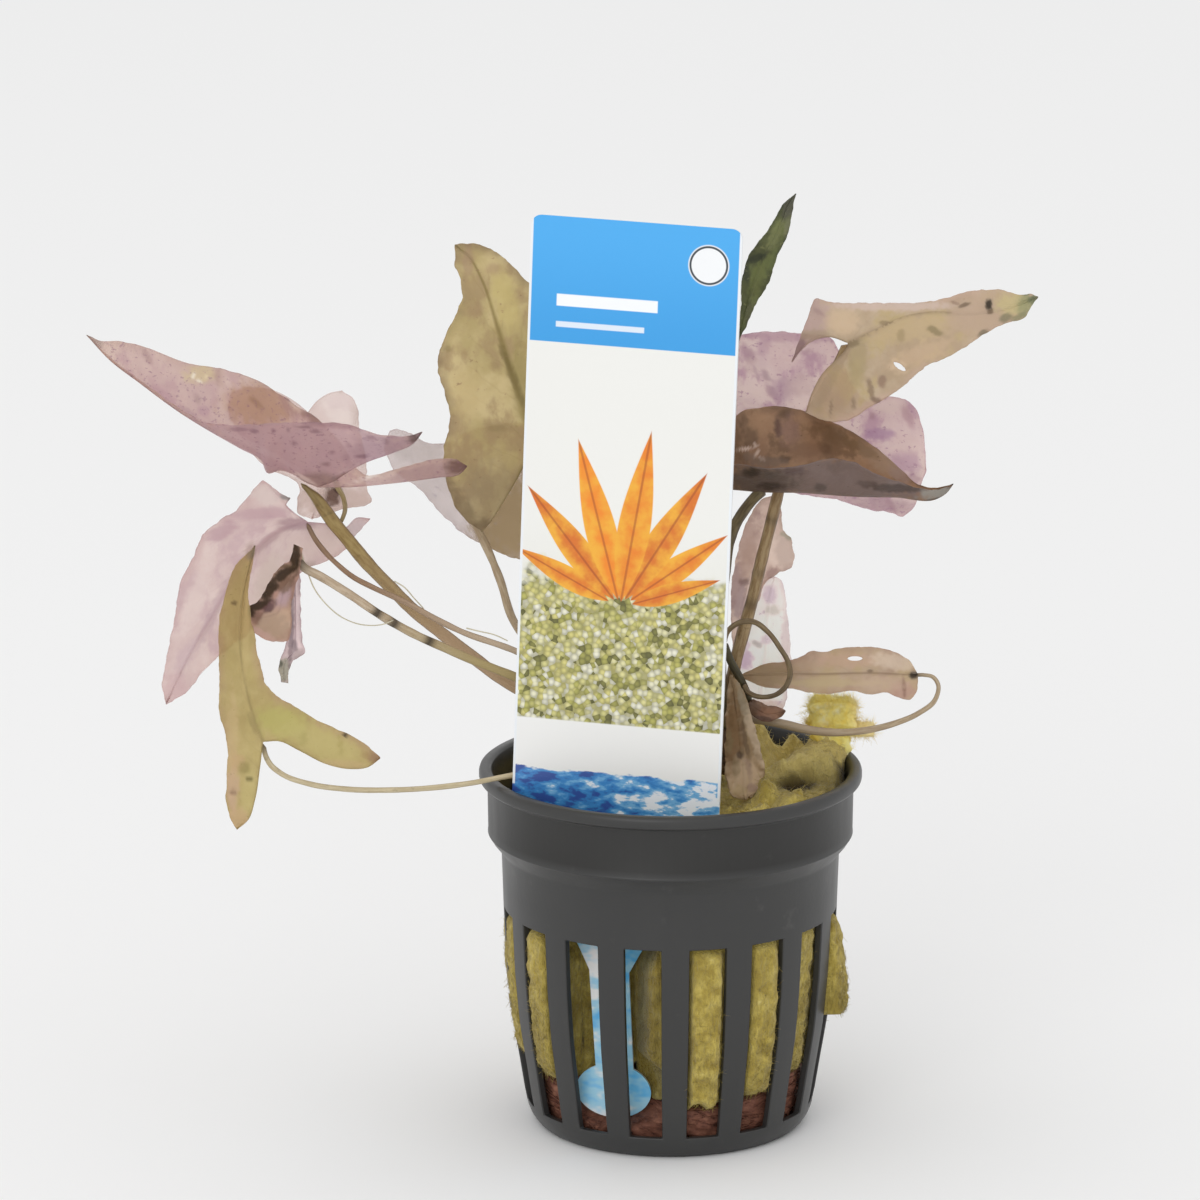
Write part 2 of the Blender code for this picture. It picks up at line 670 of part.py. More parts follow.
def make_back_leaves(group):
    base, tip = (532, 450, 4), (455, 245, 2)
    rib = spots(
        base, (521, 402, 4.5), (508, 361, 4.5), (496, 322, 4), (483, 283, 3), (469, 257, 2.4), tip,
    )
    left = half_blade(
        spots((482, 532, 1.5), (491, 521, 2), (506, 498, 2.8), (520, 474, 3.4), base),
        rib,
        spots(
            (482, 532, 1.5), (465, 519, 1.2), (454, 504, 1), (446, 486, 0.8), (444, 445, 0.8),
            (449, 422, 1), (440, 386, 1), (438, 360, 1), (445, 333, 1.2), (457, 312, 1.4),
            (463, 295, 1.5), (457, 272, 1.6), tip,
        ),
        4, rows=(3, 7),
    )
    right = half_blade(
        spots((604, 520, 7), (580, 498, 6), (556, 472, 5), base),
        rib,
        spots(
            (604, 520, 7), (622, 470, 7.5), (612, 400, 7.5), (590, 345, 7), (560, 305, 6),
            (528, 282, 5), (504, 257, 4), (482, 246, 3), tip,
        ),
        2, rows=(3, 7),
    )
    leaf("leaf_olive_tall", [left, right], group, OLIVE)

    start, end = (384, 449, 9.5), (600, 520, 12)
    upper = spots(
        start, (400, 434, 9.5), (422, 438, 9.5), (444, 444, 10), (470, 431, 10.5), (530, 425, 11),
        (585, 460, 12), end,
    )
    lower = spots(
        start, (396, 472, 9.2), (417, 487, 9), (440, 512, 9), (461, 532, 9), (490, 548, 9.5),
        (518, 559, 10), (560, 560, 11), end,
    )
    leaf("leaf_pale_back", [ribbon(upper, lower, rows=8, columns=3)], group, PALE_PINK)

    base, tip = (738, 342, 4), (796, 196, 6)
    left = spots(
        base, (741, 305, 4), (744, 272, 4), (758, 243, 4.5), (775, 219, 5), (787, 203, 5.6), tip,
    )
    right = spots(
        base, (755, 307, 5.6), (768, 284, 6), (775, 259, 6.2), (786, 238, 6.2), (790, 221, 6.2), tip,
    )
    leaf("leaf_spear", [ribbon(left, right)], group, DARK_GREEN)


def make_right_leaves(group):
    base, tip = (847, 345, 1), (1038, 297, -4)
    rib = spots(base, (875, 330, 0.5), (915, 318, -0.5), (960, 312, -2), (1000, 307, -3), tip)
    upper = half_blade(
        spots((792, 362, 1.8), (801, 350, 1.8), (812, 341, 1.8), (830, 337, 1.5), base),
        rib,
        spots(
            (792, 362, 1.8), (797, 346, 2.3), (804, 327, 2.8), (814, 301, 3.4), (850, 303, 3.2),
            (900, 303, 2), (940, 301, 0), (970, 293, -1.5), (1002, 291, -2.8), (1024, 294, -3.6), tip,
        ),
        4, rows=(3, 5),
    )
    lower = half_blade(
        spots((806, 412, -3.5), (812, 393, -2.5), (822, 374, -1), (838, 357, 0.4), base),
        rib,
        spots(
            (806, 412, -3.5), (822, 420, -4.2), (846, 425, -5), (870, 410, -5.5), (896, 393, -5.8),
            (925, 367, -6), (951, 355, -5.9), (978, 340, -5.7), (1000, 324, -5.2), (1024, 315, -4.6), tip,
        ),
        3,
    )
    leaf("leaf_right_arrow", [upper, lower], group, TAN)

    start, end = (712, 398, 8.5), (926, 470, 5)
    upper = spots(
        start, (720, 352, 9), (740, 335, 9.2), (772, 333, 9.2), (808, 334, 9), (835, 341, 8.7),
        (846, 362, 8.2), (866, 390, 7.5), (893, 398, 7), (912, 403, 6.5), (921, 424, 6),
        (925, 450, 5.5), end,
    )
    lower = spots(
        start, (733, 450, 7.5), (752, 482, 6.5), (800, 493, 5.5), (840, 501, 5), (872, 512, 4.8),
        (892, 508, 4.8), (905, 517, 4.6), (917, 502, 4.7), end,
    )
    leaf("leaf_right_pink", [ribbon(upper, lower, rows=11, columns=3)], group, MAUVE)

    base, tip = (728, 489, -4.5), (953, 483, -6)
    keel = spots(
        base, (765, 492, -5), (800, 493, -5.3), (850, 495, -5.6), (895, 497, -5.8), (930, 497, -6),
        tip,
    )
    far = spots(
        base, (722, 450, -2), (740, 413, 0), (770, 407, 1), (805, 411, 1.4), (845, 427, 1.2),
        (878, 451, 0), (903, 474, -2), (918, 486, -4), (936, 488, -5.4), tip,
    )
    near = spots(
        base, (730, 467, -9), (768, 469, -10), (805, 463, -10.5), (842, 459, -10.4),
        (870, 468, -9.8), (898, 482, -8.3), (920, 489, -6.8), (938, 491, -6.3), tip,
    )
    halves = [ribbon(keel, far, rows=9, columns=3), ribbon(keel, near, rows=9, columns=3)]
    leaf("leaf_right_brown", halves, group, RED_BROWN)

    base, tip = (733, 650, 5), (777, 494, 5.2)
    left = spots(base, (733, 610, 5.5), (735, 570, 5.5), (744, 530, 5.5), (762, 500, 5.2), tip)
    right = spots(
        base, (744, 630, 6), (756, 600, 6.5), (778, 576, 6.5), (794, 566, 6.5), (795, 550, 6.3),
        (789, 533, 6), (783, 517, 5.6), tip,
    )
    leaf("leaf_right_inner_tan", [ribbon(left, right)], group, TAN)

    base, tip = (748, 716, 7.6), (777, 581, 8)
    left = spots(base, (739, 690, 7.4), (738, 650, 7.4), (747, 612, 7.8), (764, 588, 8), tip)
    right = spots(
        base, (780, 714, 8), (786, 690, 8.2), (791, 660, 8.4), (789, 638, 8.4), (785, 608, 8.2), tip,
    )
    leaf("leaf_right_inner_pale", [ribbon(left, right)], group, PALE_PINK)

    base, tip = (916, 677, 2), (738, 676, 3)
    upper = spots(
        base, (910, 660, 1), (893, 651, 0.8), (865, 648, 0.8), (835, 649, 1), (800, 658, 1.5),
        (765, 664, 2.4), tip,
    )
    middle = spots(base, (880, 675, 2.6), (840, 674, 3), (790, 675, 3.2), tip)
    lower = spots(
        base, (914, 691, 1.2), (905, 700, 0.6), (890, 694, 0.8), (860, 693, 1), (825, 693, 1.4),
        (785, 689, 2), tip,
    )
    leaf("leaf_right_level", [ribbon(upper, middle, rows=8), ribbon(middle, lower, rows=8)], group, TAN)

    base, tip = (729, 676, -3.8), (744, 799, -10)
    left = spots(base, (727, 700, -4.6), (726, 730, -6), (725, 760, -8), (728, 788, -10), tip)
    right = spots(
        base, (740, 696, -4), (751, 722, -5.5), (759, 748, -7), (764, 770, -8), (761, 788, -9), tip,
    )
    leaf("leaf_hanging_brown", [ribbon(left, right)], group, RED_BROWN)

    base, tip = (755, 704, -2.2), (783, 710, 0.5)
    left = spots(base, (763, 703, -1.4), (774, 705, -0.2), tip)
    right = spots(base, (759, 713, -1.8), (767, 719, -0.9), (776, 718, 0), tip)
    leaf("leaf_small_red", [ribbon(left, right, rows=4)], group, RED_BROWN)


def make_stalks(group):
    stalk(
        "stalk_left_arrow",
        spots(
            (315, 494, -7.6), (325, 511, -7.4), (342, 530, -7.2), (368, 560, -6.9), (391, 586, -5.8),
            (412, 609, -4.8),
            (440, 632, -3.6), (470, 655, -2.8), (513, 686, -2), (580, 712, -0.5), (650, 728, 0.5),
        ) + [port(193, 3)],
        (0.85, 0.8), group, OLIVE_STALK, 14,
    )
    stalk(
        "stalk_left_drooping",
        spots(
            (312, 534, -10.6), (324, 551, -10.8), (338, 565, -10.8), (353, 577, -10.6),
            (372, 587, -10.3), (409, 604, -9.4), (432, 617, -8.6), (460, 631, -7.8), (513, 650, -6.6),
            (590, 690, -3),
        ) + [port(215, 40)],
        (0.5, 0.55), group, PURPLE_STALK, 14,
    )
    stalk(
        "stalk_left_crumpled",
        spots(
            (306, 569, -15.6), (316, 574, -15.5), (346, 592, -14.8), (382, 616, -13.4),
            (416, 635, -11.6), (445, 648, -10), (470, 659, -8.8), (513, 676, -7.2), (590, 706, -3.6),
        ) + [port(222, 7)],
        (0.65, 0.65), group, TAN_STALK, 13,
    )
    stalk(
        "stalk_left_olive",
        spots(
            (264, 749, -20.8), (268, 762, -20.5), (282, 774, -20), (310, 784, -19), (345, 790, -17.5),
            (390, 790, -15.5), (440, 787, -13), (480, 781.5, -11.2), (495, 778.5, -10.3),
            (511, 775.5, -9.4), (570, 765, -5.5), (640, 752, -1.5),
        ) + [port(190, -30)],
        (0.42, 0.42), group, TAN_STALK, 16,
    )
    stalk(
        "stalk_left_round",
        spots((335, 481, 1.6), (342, 493, 0.2), (345, 504, -1.8), (343, 516, -4.6)),
        (0.35, 0.3), group, OLIVE_STALK, 7,
    )
    stalk(
        "stalk_pale_back",
        spots(
            (468, 508, 8.2), (478, 530, 7.5), (490, 555, 6.5), (500, 580, 5.5), (513, 620, 4.5),
            (560, 670, 3), (640, 708, 2.6),
        ) + [port(180, 28)],
        (0.55, 0.55), group, OLIVE_STALK, 12,
    )
    stalk(
        "stalk_olive_tall",
        spots((535, 462, 3.4), (552, 520, 4.5), (580, 590, 5.5), (625, 660, 6)) + [port(150, 45)],
        (0.7, 0.7), group, OLIVE_STALK, 9,
    )
    stalk(
        "stalk_spear",
        spots(
            (735, 351, 5), (727, 400, 5.5), (716, 480, 6), (706, 570, 6.5), (704, 650, 6.5),
        ) + [port(110, 62)],
        (0.45, 0.5), group, DARK_STALK, 9,
    )
    stalk(
        "stalk_right_arrow",
        spots(
            (846, 352, 2.6), (838, 370, 2.6), (824, 400, 3), (803, 442, 3.2), (784, 490, 2.8),
            (775, 520, 2.5), (765, 555, 2.2), (752, 600, 1.8), (741, 640, 1.4), (734, 668, 1.4),
        ) + [port(20, 62)],
        (0.75, 0.95), group, OLIVE_STALK, 13,
    )
    stalk(
        "stalk_right_brown",
        spots(
            (764, 499, -4.2), (754, 505, -3.6), (745, 514, -2.8), (738, 527, -2), (732, 550, -1.4),
            (727, 585, -1), (722, 630, -0.6),
        ) + [port(290, 62)],
        (0.6, 0.65), group, DARK_STALK, 10,
    )
    stalk(
        "stalk_right_pink",
        spots(
            (800, 440, 8.8), (784, 490, 9.2), (775, 520, 9.5), (765, 555, 9.8), (752, 600, 10),
            (742, 640, 9.8), (735, 668, 8.9),
        ) + [port(62, 30)],
        (0.5, 0.5), group, OLIVE_STALK, 12,
    )
    stalk(
        "stalk_right_level",
        spots(
            (920, 676, 1.8), (931, 676, 1.5), (938, 684, 1), (934, 700, 0.6), (919, 713, 0.4),
            (896, 724, 0.4), (868, 731, 0.4), (835, 733, 0.6), (806, 730, 1), (787, 724, 1.4),
            (770, 721, 1.6), (757, 724, 1.8),
        ) + [port(-5, -2)],
        (0.34, 0.34), group, TAN_STALK, 15,
    )
    stalk(
        "stalk_curled",
        spots(
            (722, 640, -3.4), (728, 631, -3.7), (741, 622, -4), (754, 622, -4), (768, 632, -4),
            (780, 648, -4), (788, 662, -4), (790, 675, -4), (786, 686, -4), (777, 694, -4),
            (764, 697, -3.8), (753, 695, -3.4),
        ),
        (0.4, 0.4), group, DARK_STALK, 16,
    )
    stalk(
        "stalk_stub",
        spots((724, 643, -2.4), (730, 660, -2.3), (740, 679, -2.2), (746, 694, -1.6)) + [port(335, 28)],
        (0.5, 0.8), group, DARK_STALK, 7,
    )


def main():
    for old in list(bpy.data.objects):
        bpy.data.objects.remove(old)
    group = collection("potted_red_tiger_lotus")
    cutters = collection("cutters", hidden=True)
    make_pot(group, cutters)
    slit = make_label(group, cutters)
    make_wool(group, slit)
    make_mat(group, slit)
    make_tuft(group)
    make_crown(group)
    make_left_leaves(group)
    make_back_leaves(group)
    make_right_leaves(group)
    make_stalks(group)


main()
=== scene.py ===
"""Potted red tiger lotus: a net pot of mineral wool with its stake label, and the young plant in it.

Lengths are millimetres until a mesh is made, which turns them into metres. +Z is up, the origin is the centre
of the pot's underside, and the front, which the photograph shows, faces -Y. A spot (across, down, depth) is a
place given by the pixel that it shows at in the 1200 x 1200 photograph and its depth along Y in millimetres.
"""

import math

import bmesh
import bpy
import numpy as np
from mathutils import Matrix


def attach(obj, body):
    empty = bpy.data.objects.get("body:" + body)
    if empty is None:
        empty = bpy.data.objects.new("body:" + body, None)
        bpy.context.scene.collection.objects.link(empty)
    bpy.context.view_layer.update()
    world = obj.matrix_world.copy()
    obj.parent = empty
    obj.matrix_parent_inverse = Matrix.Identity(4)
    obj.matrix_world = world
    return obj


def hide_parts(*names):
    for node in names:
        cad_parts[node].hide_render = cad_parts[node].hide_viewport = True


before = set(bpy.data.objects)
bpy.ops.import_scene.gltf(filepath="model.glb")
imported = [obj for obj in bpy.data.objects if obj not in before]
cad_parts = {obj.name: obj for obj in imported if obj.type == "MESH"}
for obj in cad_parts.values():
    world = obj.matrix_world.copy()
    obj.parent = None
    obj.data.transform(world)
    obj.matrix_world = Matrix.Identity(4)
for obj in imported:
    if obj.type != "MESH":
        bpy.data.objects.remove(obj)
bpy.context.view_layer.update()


# Camera, floor and light
# The view of the photograph, fitted to the rim, the slots and the foot of the pot: a long lens from a metre
# away, looking a little down. A white floor runs past the edges of the frame, and broad white light comes
# from all round.
EYE = np.array([-10.12, -1000.0, 334.8])
PITCH = math.radians(14.438)
FOCUS = 7236.6
FRAME_SIDE = 1200
SENSOR = 36.0
FLOOR_HALF = 4.0
WORLD_LIGHT = 0.88
AHEAD = np.array([0, math.cos(PITCH), -math.sin(PITCH)])
UPWARD = np.array([0, math.sin(PITCH), math.cos(PITCH)])


def tone(red, green, blue):
    """A colour in linear light from its screen values c: ((c / 255 + 0.055) / 1.055) to the power 2.4."""
    shares = np.array([red, green, blue]) / 255
    light = np.where(shares <= 0.04045, shares / 12.92, ((shares + 0.055) / 1.055) ** 2.4)
    return (*(float(share) for share in light), 1.0)


camera = bpy.data.objects.new("camera", bpy.data.cameras.new("camera"))
camera.data.sensor_width = SENSOR
camera.data.lens = SENSOR * FOCUS / FRAME_SIDE
camera.data.clip_start = 0.05
camera.data.clip_end = 20.0
camera.location = EYE / 1000
camera.rotation_euler = (math.pi / 2 - PITCH, 0, 0)
bpy.context.scene.collection.objects.link(camera)
bpy.context.scene.camera = camera

floor_data = bpy.data.meshes.new("floor")
floor_corners = [(x * FLOOR_HALF, y * FLOOR_HALF, 0) for x, y in ((-1, -1), (1, -1), (1, 1), (-1, 1))]
floor_data.from_pydata(floor_corners, [], [(0, 1, 2, 3)])
floor = bpy.data.objects.new("floor", floor_data)
bpy.context.scene.collection.objects.link(floor)
floor_paint = bpy.data.materials.new("floor_paint")
floor_paint.use_nodes = True
for socket, value in (("Base Color", (0.9, 0.9, 0.9, 1)), ("Roughness", 0.9), ("Specular IOR Level", 0.0)):
    floor_paint.node_tree.nodes["Principled BSDF"].inputs[socket].default_value = value
floor_data.materials.append(floor_paint)

studio = bpy.data.worlds.new("studio")
studio.use_nodes = True
studio.node_tree.nodes["Background"].inputs["Color"].default_value = (1, 1, 1, 1)
studio.node_tree.nodes["Background"].inputs["Strength"].default_value = WORLD_LIGHT
bpy.context.scene.world = studio
bpy.context.scene.view_settings.view_transform = "Standard"


def soft_box(name, place, aim, size, power):
    """A square lamp of this size in metres at a place, facing another."""
    lamp = bpy.data.lights.new(name, "AREA")
    lamp.size = size
    lamp.energy = power
    box = bpy.data.objects.new(name, lamp)
    way = np.array(place) - np.array(aim)
    box.location = place
    box.rotation_euler = (math.atan2(math.hypot(way[0], way[1]), way[2]), 0, math.atan2(way[0], -way[1]))
    bpy.context.scene.collection.objects.link(box)


soft_box("front_light", (-0.6, -1.6, 0.9), (0, 0, 0.06), 1.2, 6.5)
soft_box("top_light", (0.3, 0.2, 1.9), (0, 0, 0.08), 1.5, 2)


# Pot
# A net pot moulded in one piece from dark grey plastic: a wall that leans out, sixteen tall slots, a collar,
# a rolled lip, a flat floor with drain slots, and edges that the mould leaves a little round.
SLOTS = 16
PITCH_ANGLE = math.tau / SLOTS
SLOT_ANGLE = math.radians(12.9)
SLOT_OFFSET = math.radians(1.3)
SLOT_FOOT, SLOT_HEAD = 3.4, 32.3
SLOT_HEIGHTS = (SLOT_FOOT, 5.0, 7.5, 10.0, 13.0, 16.5, 20.0, 24.0, 28.0, SLOT_HEAD)
WALL = 1.1
WALL_SIDE = (
    (0.0, 18.2), (0.5, 19.4), (1.6, 20.2), (3.0, 20.7), (5.0, 21.1), (10.0, 21.9), (16.0, 22.9), (23.0, 23.6),
    (31.0, 24.0), (40.6, 24.3), (41.2, 24.6), (42.6, 25.9), (43.6, 26.2), (50.7, 26.3),
)
DRAIN_FROM, DRAIN_TO = 7.0, 15.0
SLOT_COLUMNS, RIB_COLUMNS = 4, 3
PITCH_COLUMNS = SLOT_COLUMNS + RIB_COLUMNS
LINING_RADIUS, LINING_FOOT = (0.0261, 0.0265), (0.0435, 0.0445)


def wall_radius(height):
    return np.interp(height, *zip(*WALL_SIDE))


def around(angle, radius, height):
    """Places at these angles from the front towards the right, at a distance from the pot's axis."""
    angle, radius, height = np.broadcast_arrays(angle, radius, height)
    return np.stack([radius * np.sin(angle), -radius * np.cos(angle), height], -1)


def piece(name, points, faces, finish, replaces=(), marks=None, weld=1e-5):
    """A smooth mesh object from places in millimetres, welded, turned outwards and riding on the one body.

    marks are named values for each place, kept as point attributes that the finish reads.
    """
    data = bpy.data.meshes.new(name)
    data.from_pydata(np.asarray(points) / 1000, [], faces)
    for mark, values in (marks or {}).items():
        layer = data.attributes.new(mark, "FLOAT_VECTOR", "POINT")
        layer.data.foreach_set("vector", np.asarray(values, np.float32).ravel())
    work = bmesh.new()
    work.from_mesh(data)
    bmesh.ops.remove_doubles(work, verts=work.verts, dist=weld)
    bmesh.ops.dissolve_degenerate(work, edges=work.edges, dist=1e-7)
    bmesh.ops.recalc_face_normals(work, faces=work.faces)
    work.to_mesh(data)
    work.free()
    data.shade_smooth()
    made = bpy.data.objects.new(name, data)
    bpy.context.scene.collection.objects.link(made)
    data.materials.append(finish)
    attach(made, "root")
    if replaces:
        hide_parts(*replaces)
    return made


def finish_of(name, roughness=0.5, specular=0.5):
    """A new material and its tree, with the roughness and the specular level on the shader's own sockets."""
    made = bpy.data.materials.new(name)
    made.use_nodes = True
    shader = made.node_tree.nodes["Principled BSDF"]
    shader.inputs["Roughness"].default_value = roughness
    shader.inputs["Specular IOR Level"].default_value = specular
    return made, made.node_tree, shader


def node(tree, kind, settings=None, **inputs):
    """A node of a material, with its settings, and its inputs as values or as links from other nodes."""
    made = tree.nodes.new("ShaderNode" + kind)
    for key, value in (settings or {}).items():
        setattr(made, key, value)
    for key, value in inputs.items():
        socket = made.inputs[int(key[1:]) if key[0] == "_" and key[1:].isdigit() else key.replace("_", " ")]
        if isinstance(value, bpy.types.NodeSocket):
            tree.links.new(value, socket)
        else:
            socket.default_value = value
    return made


def noise(tree, scale, detail=3.0, place=None, stretch=(1, 1, 1)):
    """The height of a noise pattern with this many bumps to the metre, stretched along the axes."""
    place = place or node(tree, "TexCoord").outputs["Object"]
    turned = node(tree, "Mapping", Vector=place, Scale=stretch).outputs["Vector"]
    return node(tree, "TexNoise", Vector=turned, Scale=scale, Detail=detail, Roughness=0.6).outputs["Fac"]


def ramp(tree, value, *stops):
    """A smooth run of colours, or of greys where a stop is one number, over a value from 0 to 1."""
    made = node(tree, "ValToRGB", Fac=value)
    made.color_ramp.interpolation = "EASE"
    for index, (at, shade) in enumerate(stops):
        shade = shade if isinstance(shade, tuple) else (shade, shade, shade, 1)
        stop = made.color_ramp.elements[index] if index < 2 else made.color_ramp.elements.new(at)
        stop.position, stop.color = at, shade
    return made.outputs["Color"]


def mix(tree, share, first, second, blend="MIX"):
    """One colour over another by a share from 0 to 1."""
    made = node(tree, "Mix", {"data_type": "RGBA", "blend_type": blend})
    for index, value in ((0, share), (6, first), (7, second)):
        if isinstance(value, bpy.types.NodeSocket):
            tree.links.new(value, made.inputs[index])
        else:
            made.inputs[index].default_value = value
    return made.outputs[2]


def sum_of(tree, operation, first, second=0.0, third=0.0):
    """A sum of one, two or three values."""
    return node(tree, "Math", {"operation": operation}, _0=first, _1=second, _2=third).outputs[0]


def slide(tree, value, start, end, at_start=0.0, at_end=1.0):
    """An even run from at_start to at_end while the value goes from start to end, and level beyond them."""
    return node(tree, "MapRange", Value=value, _1=start, _2=end, _3=at_start, _4=at_end).outputs["Result"]


def axes(tree, vector):
    """The X, Y and Z of a vector."""
    return node(tree, "SeparateXYZ", Vector=vector).outputs


def carried(tree, mark):
    """The vector that the places of a mesh carry under this name."""
    return node(tree, "Attribute", {"attribute_name": mark}).outputs["Vector"]


def bump(tree, shader, height, distance, strength=1.0):
    relief = node(tree, "Bump", Height=height, Distance=distance, Strength=strength)
    tree.links.new(relief.outputs["Normal"], shader.inputs["Normal"])


def pot_rings():
    """Rings of the wall's outside, from under the floor to the lip, and of its inside from the floor up.

    Each ring has a radius and a height. The heights of the slots are the same inside as outside, so that the
    two sides can be joined round each slot.
    """
    foot = [(DRAIN_FROM, 0.0), (DRAIN_TO, 0.0), (18.2, 0.0), (19.0, 0.15), (19.6, 0.7), (20.2, 1.6),
            (20.6, 2.6)]
    side = [(float(wall_radius(height)), height) for height in SLOT_HEIGHTS]
    collar = [(24.15, 36.0), (24.3, 40.5), (24.5, 41.0), (25.6, 42.3), (26.1, 43.1), (26.32, 43.3),
              (26.2, 43.6)]
    lip = [(26.3, 50.6), (26.6, 50.85), (27.1, 50.95), (27.42, 51.2), (27.5, 51.6), (27.5, 52.2),
           (27.38, 52.6), (27.1, 52.8), (26.1, 52.8), (25.8, 52.7), (25.65, 52.4)]
    floor_top = [(DRAIN_FROM, WALL), (DRAIN_TO, WALL), (17.6, WALL), (18.6, 1.3), (19.3, 2.1)]
    inside = [(radius - WALL, height) for radius, height in side]
    upper = [(23.05, 36.0), (23.2, 40.6), (23.6, 41.3), (24.9, 42.8), (25.3, 43.8), (25.4, 50.0)]
    return foot + side + collar + lip, floor_top + inside + upper


outside, inside = pot_rings()
pitch_steps = np.concatenate([
    -SLOT_ANGLE / 2 + SLOT_ANGLE * np.arange(SLOT_COLUMNS) / SLOT_COLUMNS,
    SLOT_ANGLE / 2 + (PITCH_ANGLE - SLOT_ANGLE) * np.arange(RIB_COLUMNS) / RIB_COLUMNS,
])
middles = SLOT_OFFSET + PITCH_ANGLE * (np.arange(SLOTS) + 0.5)
angles = (middles[:, None] + pitch_steps).ravel()
count = len(angles)
rings = np.array(outside + inside[::-1])
pot_points = around(angles[None], rings[:, :1], rings[:, 1:]).reshape(-1, 3)
pot_points = np.concatenate([pot_points, [(0, 0, 0), (0, 0, WALL)]])
columns = np.arange(count)
in_slot = columns % PITCH_COLUMNS < SLOT_COLUMNS
in_drain = columns % (2 * PITCH_COLUMNS) < SLOT_COLUMNS - 1
pot_faces = []
for low in range(len(rings) - 1):
    (radius, height), (next_radius, next_height) = rings[low], rings[low + 1]
    band = sorted((height, next_height))
    open_side = band[0] >= SLOT_FOOT and band[1] <= SLOT_HEAD
    flat = height == next_height and sorted((radius, next_radius)) == [DRAIN_FROM, DRAIN_TO]
    keep = ~in_slot if open_side else ~in_drain if flat else np.full(count, True)
    here = low * count + columns
    after = low * count + (columns + 1) % count
    pot_faces += np.stack([here, after, after + count, here + count], -1)[keep].tolist()
under, top = len(pot_points) - 2, len(pot_points) - 1
last = (len(rings) - 1) * count
pot_faces += [(under, i, (i + 1) % count) for i in range(count)]
pot_faces += [(top, last + i, last + (i + 1) % count) for i in range(count)]


def line_openings(pairs, opening):
    """Faces that join the outside to the inside round openings: down their sides and across their two ends.

    pairs are the rings, outside and inside, that the openings run through; opening marks the open columns.
    """
    first_columns = np.flatnonzero(opening & ~np.roll(opening, 1))
    last_columns = np.flatnonzero(opening & ~np.roll(opening, -1))
    for (outer, inner), (next_outer, next_inner) in zip(pairs, pairs[1:]):
        for edge in np.concatenate([first_columns, last_columns + 1]):
            pot_faces.append([ring * count + edge for ring in (outer, next_outer, next_inner, inner)])
    for outer, inner in (pairs[0], pairs[-1]):
        for column in np.flatnonzero(opening):
            pot_faces.append([outer * count + column, outer * count + column + 1, inner * count + column + 1,
                              inner * count + column])


ring_of = {}
for index, (radius, height) in enumerate(rings):
    ring_of.setdefault(float(height), []).append(index)
line_openings([(ring_of[height][0], ring_of[height][-1]) for height in SLOT_HEIGHTS], in_slot)
floor_rings = len(rings) - 1
line_openings([(0, floor_rings), (1, floor_rings - 1)], in_drain)

pot_plastic, tree, shader = finish_of("pot_plastic", 0.4, 0.5)
scuffs = noise(tree, 260, 6.0)
streaks = noise(tree, 90, 4.0, stretch=(1, 1, 0.18))
grey = mix(tree, streaks, tone(44, 44, 44), tone(54, 54, 53))
grey = mix(tree, ramp(tree, scuffs, (0.62, 0.0), (0.8, 0.35)), grey, tone(88, 87, 84))
pot_place = node(tree, "TexCoord").outputs["Object"]
flat_place = node(tree, "VectorMath", {"operation": "MULTIPLY"}, _0=pot_place, _1=(1, 1, 0)).outputs[0]
from_axis = node(tree, "VectorMath", {"operation": "LENGTH"}, _0=flat_place).outputs["Value"]
# Painted shade: the inside of the wall, within the lip and above the collar, is darkened to near black, as
# the shade in the pot's hollow.
inside_lip = slide(tree, from_axis, *LINING_RADIUS, 1.0, 0.0)
above_collar = slide(tree, axes(tree, pot_place)["Z"], *LINING_FOOT)
painted_lining_shade = sum_of(tree, "MULTIPLY", inside_lip, above_collar)
tree.links.new(mix(tree, painted_lining_shade, grey, tone(18, 16, 12)), shader.inputs["Base Color"])
tree.links.new(ramp(tree, streaks, (0.3, 0.34), (0.75, 0.46)), shader.inputs["Roughness"])
bump(tree, shader, noise(tree, 1400, 4.0), 0.00003, 0.5)

pot = piece("net_pot", pot_points, pot_faces, pot_plastic, ["pot"])
edges = pot.modifiers.new("moulded_edges", "BEVEL")
edges.width = 0.00022
edges.segments = 2
edges.limit_method = "ANGLE"
edges.angle_limit = math.radians(38)
edges.harden_normals = True


# Label
# A flat stake cut from half a millimetre of printed white plastic: a broad panel over the rim, a neck, and a
# round foot pushed down between the wool and the wall. The print is on its face, and its back is plain.
LABEL_WIDTH, LABEL_TOP, LABEL_THICK, LABEL_CORNER, LABEL_NECK = 30.0, 82.3, 0.5, 1.5, 5.5
LABEL_SIDE = ((0.0, -5.5), (-3.8, -9.5), (-6.6, -16.5), (-10.4, -23.1), (-12.1, -26.5))
LABEL_FOOT_SIZE, LABEL_FOOT_AT = (5.45, 4.0), (1.3, -44.2)
FOOT_STEPS, SIDE_STEPS, CORNER_STEPS = 40, 24, 9
LABEL_PLACE = (-7.84, -13.8, 52.8)
LABEL_YAW, LABEL_BACK, LABEL_TILT = math.radians(12.0), math.radians(0.77), math.radians(1.9)


